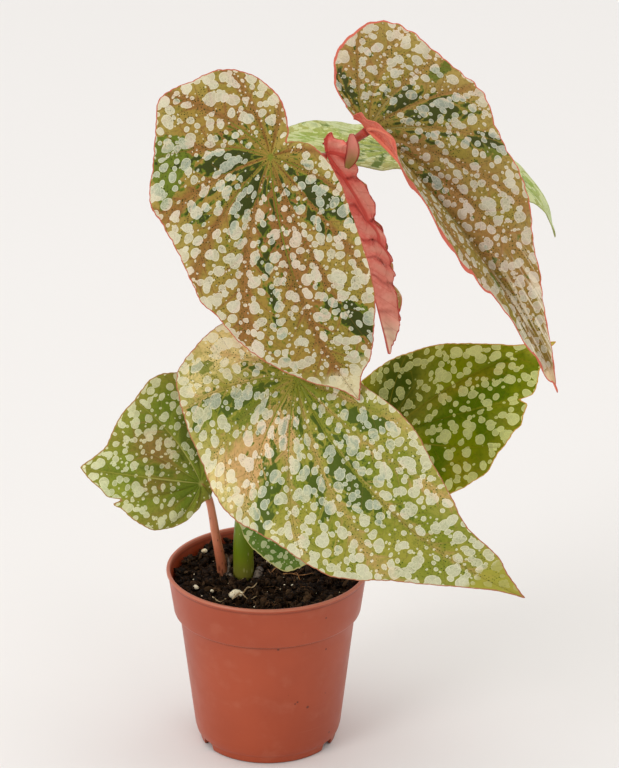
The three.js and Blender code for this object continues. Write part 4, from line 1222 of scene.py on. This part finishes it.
def cutter(name, outline, low, high, place):
    """A prism whose outline lies across Z, put in place by a matrix, for the Boolean modifier."""
    count = len(outline)
    points = [place @ Vector((x, y, z)) for z in (low, high) for x, y in outline]
    faces = [tuple(range(count))[::-1], tuple(range(count, 2 * count))]
    faces += [(k, (k + 1) % count, count + (k + 1) % count, count + k) for k in range(count)]
    return new_piece(name, [tuple(p) for p in points], faces, smooth=False)


def pot_cutters():
    """Prisms for the notches of the foot ring and the drain holes of the floor."""
    cutters = []
    half, top = NOTCH_WIDTH / 2, FOOT_HEIGHT - 0.4
    right = [(half, -1), (half - 1.1, top - 1), (half - 2, top)]
    outline = [(-half, -1), *right, *[(-x, y) for x, y in right[:0:-1]]]
    for i in range(NOTCH_COUNT):
        place = Matrix.Rotation((i + 0.5) * TURN / NOTCH_COUNT, 4, "Z")
        place = place @ Matrix.Translation((0, -FOOT_RADIUS + 5, 0)) @ Matrix.Rotation(math.pi / 2, 4, "X")
        cutters.append(cutter(f"notch_{i}", outline, 0, 8, place))
    circle = [(DRAIN_RADIUS * math.cos(t), DRAIN_RADIUS * math.sin(t)) for t in np.linspace(0, 6.1, 32)]
    for i in range(DRAIN_COUNT):
        place = Matrix.Rotation(i * TURN / DRAIN_COUNT, 4, "Z") @ Matrix.Translation((0, DRAIN_CIRCLE, 0))
        cutters.append(cutter(f"drain_{i}", circle, FOOT_HEIGHT - 3, FOOT_HEIGHT + 5, place))
    return cutters


def pot():
    piece = new_piece("fine_pot", *turned(smoothed(pot_profile(), POT_STEP), POT_SEGMENTS))
    for tool in pot_cutters():
        modifier = piece.modifiers.new("cut", "BOOLEAN")
        modifier.operation = "DIFFERENCE"
        modifier.object = tool
        modifier.solver = "EXACT"
    whole = bpy.context.evaluated_depsgraph_get()
    mesh = bpy.data.meshes.new_from_object(piece.evaluated_get(whole))
    for modifier in list(piece.modifiers):
        bpy.data.objects.remove(modifier.object)
    piece.modifiers.clear()
    piece.data = mesh
    mesh.set_sharp_from_angle(angle=math.radians(SHARP_ANGLE))
    return piece


# Filling

def clods(x, y):
    """Loose clods of a centimetre or so, over the filling's own level."""
    first = np.sin(0.55 * x + 1.1 * np.sin(0.31 * y)) * np.sin(0.6 * y + 0.9 * np.sin(0.37 * x + 2))
    second = np.sin(0.95 * x - 0.5 * y + 1) * np.sin(0.9 * y + 0.4 * x)
    return 1.5 * first + 0.9 * second


def soil_bump(x, y):
    """Height of the filling's surface over its level, with a low mound and a heap along the wall."""
    broad = np.sin(0.21 * x + 1.3) * np.cos(0.19 * y - 0.4)
    fine = np.sin(0.47 * x - 0.36 * y + 0.8)
    mound = MOUND_HEIGHT * np.exp(-((x - MOUND_AT[0]) ** 2 + (y - MOUND_AT[1]) ** 2) / MOUND_SPREAD)
    wall = np.exp(-(((HEAP_RADIUS - np.hypot(x, y)) / HEAP_WIDTH) ** 2))
    heap = HEAP_HEIGHT * wall * np.clip((0.45 * y - x) / 40, 0, 1)
    return SOIL_ROUGHNESS * (0.7 * broad + 0.4 * fine) + mound + heap


def rubble(x, y):
    """Small lumps of the filling's surface."""
    value = 0 * x
    for scale, height, turn in ((0.9, 0.35, 0.4), (1.7, 0.3, 1.9), (3.1, 0.2, 2.8)):
        u, v = x * math.cos(turn) + y * math.sin(turn), y * math.cos(turn) - x * math.sin(turn)
        across = np.sin(scale * u + 2 * np.sin(0.7 * v))
        value = value + height * across * np.sin(scale * v + 1.7 * np.sin(0.6 * u))
    return value


def soil():
    """The filling's surface, and under it a plain body that stays inside the pot."""
    foot, disc, edge = FOOT_RADIUS, FOOT_DISC_RADIUS, SOIL_RADIUS
    bottom, floor = POT_WALL + 0.3, FOOT_HEIGHT + POT_WALL + 0.3
    rings = [[edge * (1 - k / SOIL_RINGS), SOIL_LEVEL] for k in range(1, SOIL_RINGS)]
    profile = [[0, bottom], [disc - 0.6, bottom], [disc + 0.8, floor], [foot - 1, floor], [foot + 1, 9.6],
               [BODY_RADIUS - 1.6, COLLAR_FOOT - 0.3], [COLLAR_RADIUS - 2, COLLAR_FOOT + 1.8],
               [edge, SOIL_LEVEL - 1], *rings, [0, SOIL_LEVEL]]
    points, faces = turned(profile, SOIL_SEGMENTS)
    top = points[:, 2] > SOIL_LEVEL - 2
    x, y = points[top, 0], points[top, 1]
    points[top, 2] += soil_bump(x, y) + rubble(x, y)
    piece = new_piece("fine_soil", points, faces)
    add_attribute(piece, "tone", 0 * points)
    return piece


@functools.lru_cache
def ball(level):
    """Points and faces of a small sphere."""
    mesh = bmesh.new()
    bmesh.ops.create_icosphere(mesh, subdivisions=level, radius=1)
    mesh.verts.ensure_lookup_table()
    points = np.array([v.co for v in mesh.verts])
    faces = [tuple(v.index for v in f.verts) for f in mesh.faces]
    mesh.free()
    return points, faces


def lump(level, rng, size, squash, bumps):
    """An irregular lump: a small sphere pushed in and out, flattened and turned at random."""
    points, faces = ball(level)
    for _ in range(3):
        way = unit(rng.normal(size=3)) * rng.uniform(1.5, 4)
        points = points * (1 + bumps * np.sin(points @ way + rng.uniform(0, 6)))[:, None]
    scale = size * np.array([1, rng.uniform(0.55, 1), rng.uniform(*squash)])
    spin = Matrix.Rotation(rng.uniform(0, 6.28), 3, unit(rng.normal(size=3) + [0, 0, 2]))
    return (points * scale) @ np.array(spin), faces


def join_parts(name, parts):
    points, faces, start = [], [], 0
    for part, part_faces in parts:
        points.append(part)
        faces += [tuple(start + k for k in face) for face in part_faces]
        start += len(part)
    return new_piece(name, np.vstack(points), faces)


def soil_top(x, y):
    """Height of the loose crumbs, which lie lower and evener round the feet of the stems."""
    near = max(math.exp(-(((x - a) ** 2 + (y - b) ** 2) / FOOT_REACH ** 2)) for a, b, _ in STEM_FEET)
    return SOIL_LEVEL + soil_bump(x, y) + clods(x, y) * (1 - 0.9 * near) - 0.8 * near


def crumbs():
    rng = np.random.default_rng(CRUMB_SEED)
    least, more, rarity = CRUMB_SIZES
    parts, tones = [], []
    for _ in range(CRUMB_COUNT):
        out, turn = (SOIL_RADIUS - 0.9) * math.sqrt(rng.uniform()), rng.uniform(0, TURN)
        size = least + more * rng.uniform() ** rarity
        x, y = out * math.cos(turn), out * math.sin(turn)
        if any(math.dist((x, y), foot) < reach + 0.8 * size for *foot, reach in STEM_FEET):
            continue
        points, faces = lump(1 if size < 0.9 else 2, rng, size, (0.35, 0.9), 0.25)
        points = points * (1 + CRUMB_GRAIN * rng.normal(size=(len(points), 1)))
        parts.append((points + [x, y, soil_top(x, y) + rng.uniform(-0.3, 1.1) * size], faces))
        tones.append(np.full((len(points), 3), rng.uniform()))
    piece = join_parts("soil_crumbs", parts)
    add_attribute(piece, "tone", np.vstack(tones))
    return piece


def perlite():
    """The perlite lumps that the photograph shows, and small grit strewn between them."""
    rng = np.random.default_rng(CRUMB_SEED + 1)
    parts = []
    for x, y, size in PERLITE:
        points, faces = lump(3, rng, size, (0.8, 1), 0.12)
        parts.append((points + [x, y, soil_top(x, y) + 1.4 + 0.4 * size], faces))
    # Painted glints: small white grit strewn over the peat
    for _ in range(GLINT_GRIT_COUNT):
        out, turn = GLINT_GRIT_REACH * math.sqrt(rng.uniform()), rng.uniform(0, TURN)
        points, faces = lump(1, rng, rng.uniform(*GLINT_GRIT_SIZES), (0.6, 1), 0.1)
        x, y = out * math.cos(turn), out * math.sin(turn)
        parts.append((points + [x, y, soil_top(x, y) + rng.uniform(1.2, 2.4)], faces))
    return join_parts("perlite", parts)


def on_filling(path):
    return [[x, y, soil_top(x, y) + up + LIE] for x, y, up in path]


def strands(name, paths, radius):
    """Roots or twigs that lie on the crumbs and get thinner along their length."""
    def radius_at(share):
        return radius * (1 - 0.5 * share)

    return join_parts(name, [tube(on_filling(path), radius_at, 0.7, 8, 0.15) for path in paths])


def fibres():
    """Short peat fibres strewn over the filling."""
    rng = np.random.default_rng(CRUMB_SEED + 2)
    paths = []
    for _ in range(FIBRE_COUNT):
        x, y = rng.uniform(-FIBRE_REACH, FIBRE_REACH, 2)
        turn, long = rng.uniform(0, TURN), rng.uniform(*FIBRE_LENGTHS)
        rise = rng.uniform(*FIBRE_HEIGHTS, 3)
        bend = turn + rng.uniform(-0.6, 0.6)
        middle = x + long / 2 * math.cos(turn), y + long / 2 * math.sin(turn)
        end = middle[0] + long / 2 * math.cos(bend), middle[1] + long / 2 * math.sin(bend)
        paths.append([[x, y, rise[0]], [*middle, rise[1]], [*end, rise[2]]])
    return strands("fibres", paths, FIBRE_RADIUS)


def dry_scale(path, width, facing=(0.3, 0.2, 1)):
    """A thin cupped scale along a path, widest in its middle, its hump facing one way."""
    centres = curve_through(path, SCALE_ROWS)[0]
    ahead = np.gradient(centres, axis=0)
    rows = []
    for i, centre in enumerate(centres):
        side = unit(np.cross(ahead[i], facing))
        up = unit(np.cross(side, ahead[i]))
        half = width * math.sin(math.pi * (0.06 + 0.88 * i / (SCALE_ROWS - 1))) ** 0.7
        cup = np.outer(SCALE_CUP * half * SCALE_ACROSS ** 2, up)
        middle = centre + np.outer(half * SCALE_ACROSS, side) - cup
        rows += [middle + SCALE_THICKNESS / 2 * up, middle[::-1] - SCALE_THICKNESS / 2 * up]
    count = 2 * len(SCALE_ACROSS)
    last = (SCALE_ROWS - 1) * count
    ends = [tuple(range(count)), tuple(last + k for k in range(count))[::-1]]
    return np.vstack(rows), grid_faces(SCALE_ROWS, count) + ends


def filling():
    peat = soil_finish()
    dress(soil(), "potting_mix", peat, "soil")
    dress(crumbs(), "potting_mix", peat)
    dress(perlite(), "potting_mix", mineral_finish())
    dress(fibres(), "potting_mix", litter_finish("peat fibre"))
    dress(strands("roots", ROOTS, ROOT_RADIUS), "potting_mix", litter_finish("root"))
    dress(strands("twigs", TWIGS, TWIG_RADIUS), "potting_mix", litter_finish("twig"))
    scales = join_parts("dry_scales", [dry_scale(on_filling(path), width) for path, width in SCALES])
    dress(scales, "potting_mix", litter_finish("dry stipule"))


# Cane, stalks and leaves

def cane_radius(share):
    """Radius along the cane, with a swelling and a narrow ridge at each joint."""
    radius = share_of(CANE_RADII, share)
    for node in CANE_NODES:
        away = (share - node) / NODE_LENGTH
        radius += NODE_SWELLING * math.exp(-(away ** 2)) + 0.25 * math.exp(-((away / 0.35) ** 2))
    return radius


def stalk(leaf):
    """A leaf's stalk, a little thicker at both its ends; its last point lies under the blade."""
    def radius_at(share):
        flare = 0.5 * math.exp(-((share / 0.05) ** 2)) + 0.35 * math.exp(-(((1 - share) / 0.08) ** 2))
        return share_of(leaf.stalk_radii, share) + flare

    end = np.array(leaf.junction) - leaf_axes(leaf).n * STALK_END
    return new_piece(f"fine_stalk_{leaf.name}", *tube([*leaf.stalk[:-1], end], radius_at, ripple=0.02))


def plant():
    skins = {slot: stem_finish(slot.replace("_", " "), *look) for slot, look in STEM_LOOKS.items()}
    cane = tube(CANE_PATH, cane_radius, 0.9, 36, 0.012)
    dress(new_piece("fine_cane", *cane), "cane_skin", skins["cane_skin"], "cane")
    tip = tube(TIP_PATH, functools.partial(share_of, TIP_RADII), 0.5, 20, 0.05)
    dress(new_piece("fine_cane_tip", *tip), "dry_scale", skins["dry_scale"], "cane_tip")
    for leaf in LEAVES:
        dress(stalk(leaf), leaf.stalk_slot, skins[leaf.stalk_slot], f"stalk_{leaf.name}")
    for leaf in LEAVES:
        finish = blade_finish(f"{leaf.look} blade", LOOKS[leaf.look])
        dress(blade(leaf), leaf.slot, finish, f"leaf_{leaf.name}")


def lobe():
    """The curled lobe of the young leaf."""
    piece = new_piece("young_lobe", *dry_scale(LOBE_PATH, LOBE_WIDTH, (0, 1, -0.3)))
    border = np.tile(np.abs([*SCALE_ACROSS, *SCALE_ACROSS[::-1]]), SCALE_ROWS)
    add_attribute(piece, "tone", np.repeat(border[:, None], 3, axis=1))
    dress(piece, "pink_blade", lobe_finish())


# Camera, light and floor

def camera():
    data = bpy.data.cameras.new("camera")
    data.sensor_fit = "VERTICAL"
    data.sensor_height = CAMERA_SENSOR
    data.lens = CAMERA_LENS
    data.clip_end = 100
    view = bpy.data.objects.new("camera", data)
    view.location = Vector(CAMERA_PLACE) * MM
    view.rotation_euler = (math.radians(90 - CAMERA_PITCH), 0, 0)
    bpy.context.scene.collection.objects.link(view)
    bpy.context.scene.camera = view


def add_light(name, kind, energy, way, place=(0, 0, 0), **settings):
    """A light at a place in metres that shines one way."""
    data = bpy.data.lights.new(name, kind)
    data.energy = energy
    for key, value in settings.items():
        setattr(data, key, value)
    light = bpy.data.objects.new(name, data)
    light.location = place
    light.rotation_euler = way.to_track_quat("-Z", "Y").to_euler()
    bpy.context.scene.collection.objects.link(light)


def lights():
    for name, origin, width, strength, colour in SUNS:
        add_light(name, "SUN", strength, -Vector(origin), angle=math.radians(width), color=colour)
    for name, place, size, power in LAMPS:
        add_light(name, "AREA", power, Vector(LAMP_AIM) - Vector(place), place, shape="DISK", size=size)


def floor():
    corners = [(x, y, 0) for x, y in ((-1, -1), (1, -1), (1, 1), (-1, 1))]
    piece = new_piece("floor", np.array(corners) * FLOOR_REACH, [(0, 1, 2, 3)], smooth=False)
    piece.data.materials.append(floor_finish())


def world():
    surroundings = bpy.data.worlds.new("studio")
    surroundings.use_nodes = True
    background = surroundings.node_tree.nodes["Background"]
    background.inputs["Color"].default_value = (*WORLD_COLOUR, 1)
    background.inputs["Strength"].default_value = WORLD_STRENGTH
    bpy.context.scene.world = surroundings


world()
floor()
lights()
camera()
bpy.context.scene.view_settings.view_transform = "Standard"
dress(pot(), "pot_plastic", pot_finish(), "pot")
filling()
plant()
lobe()
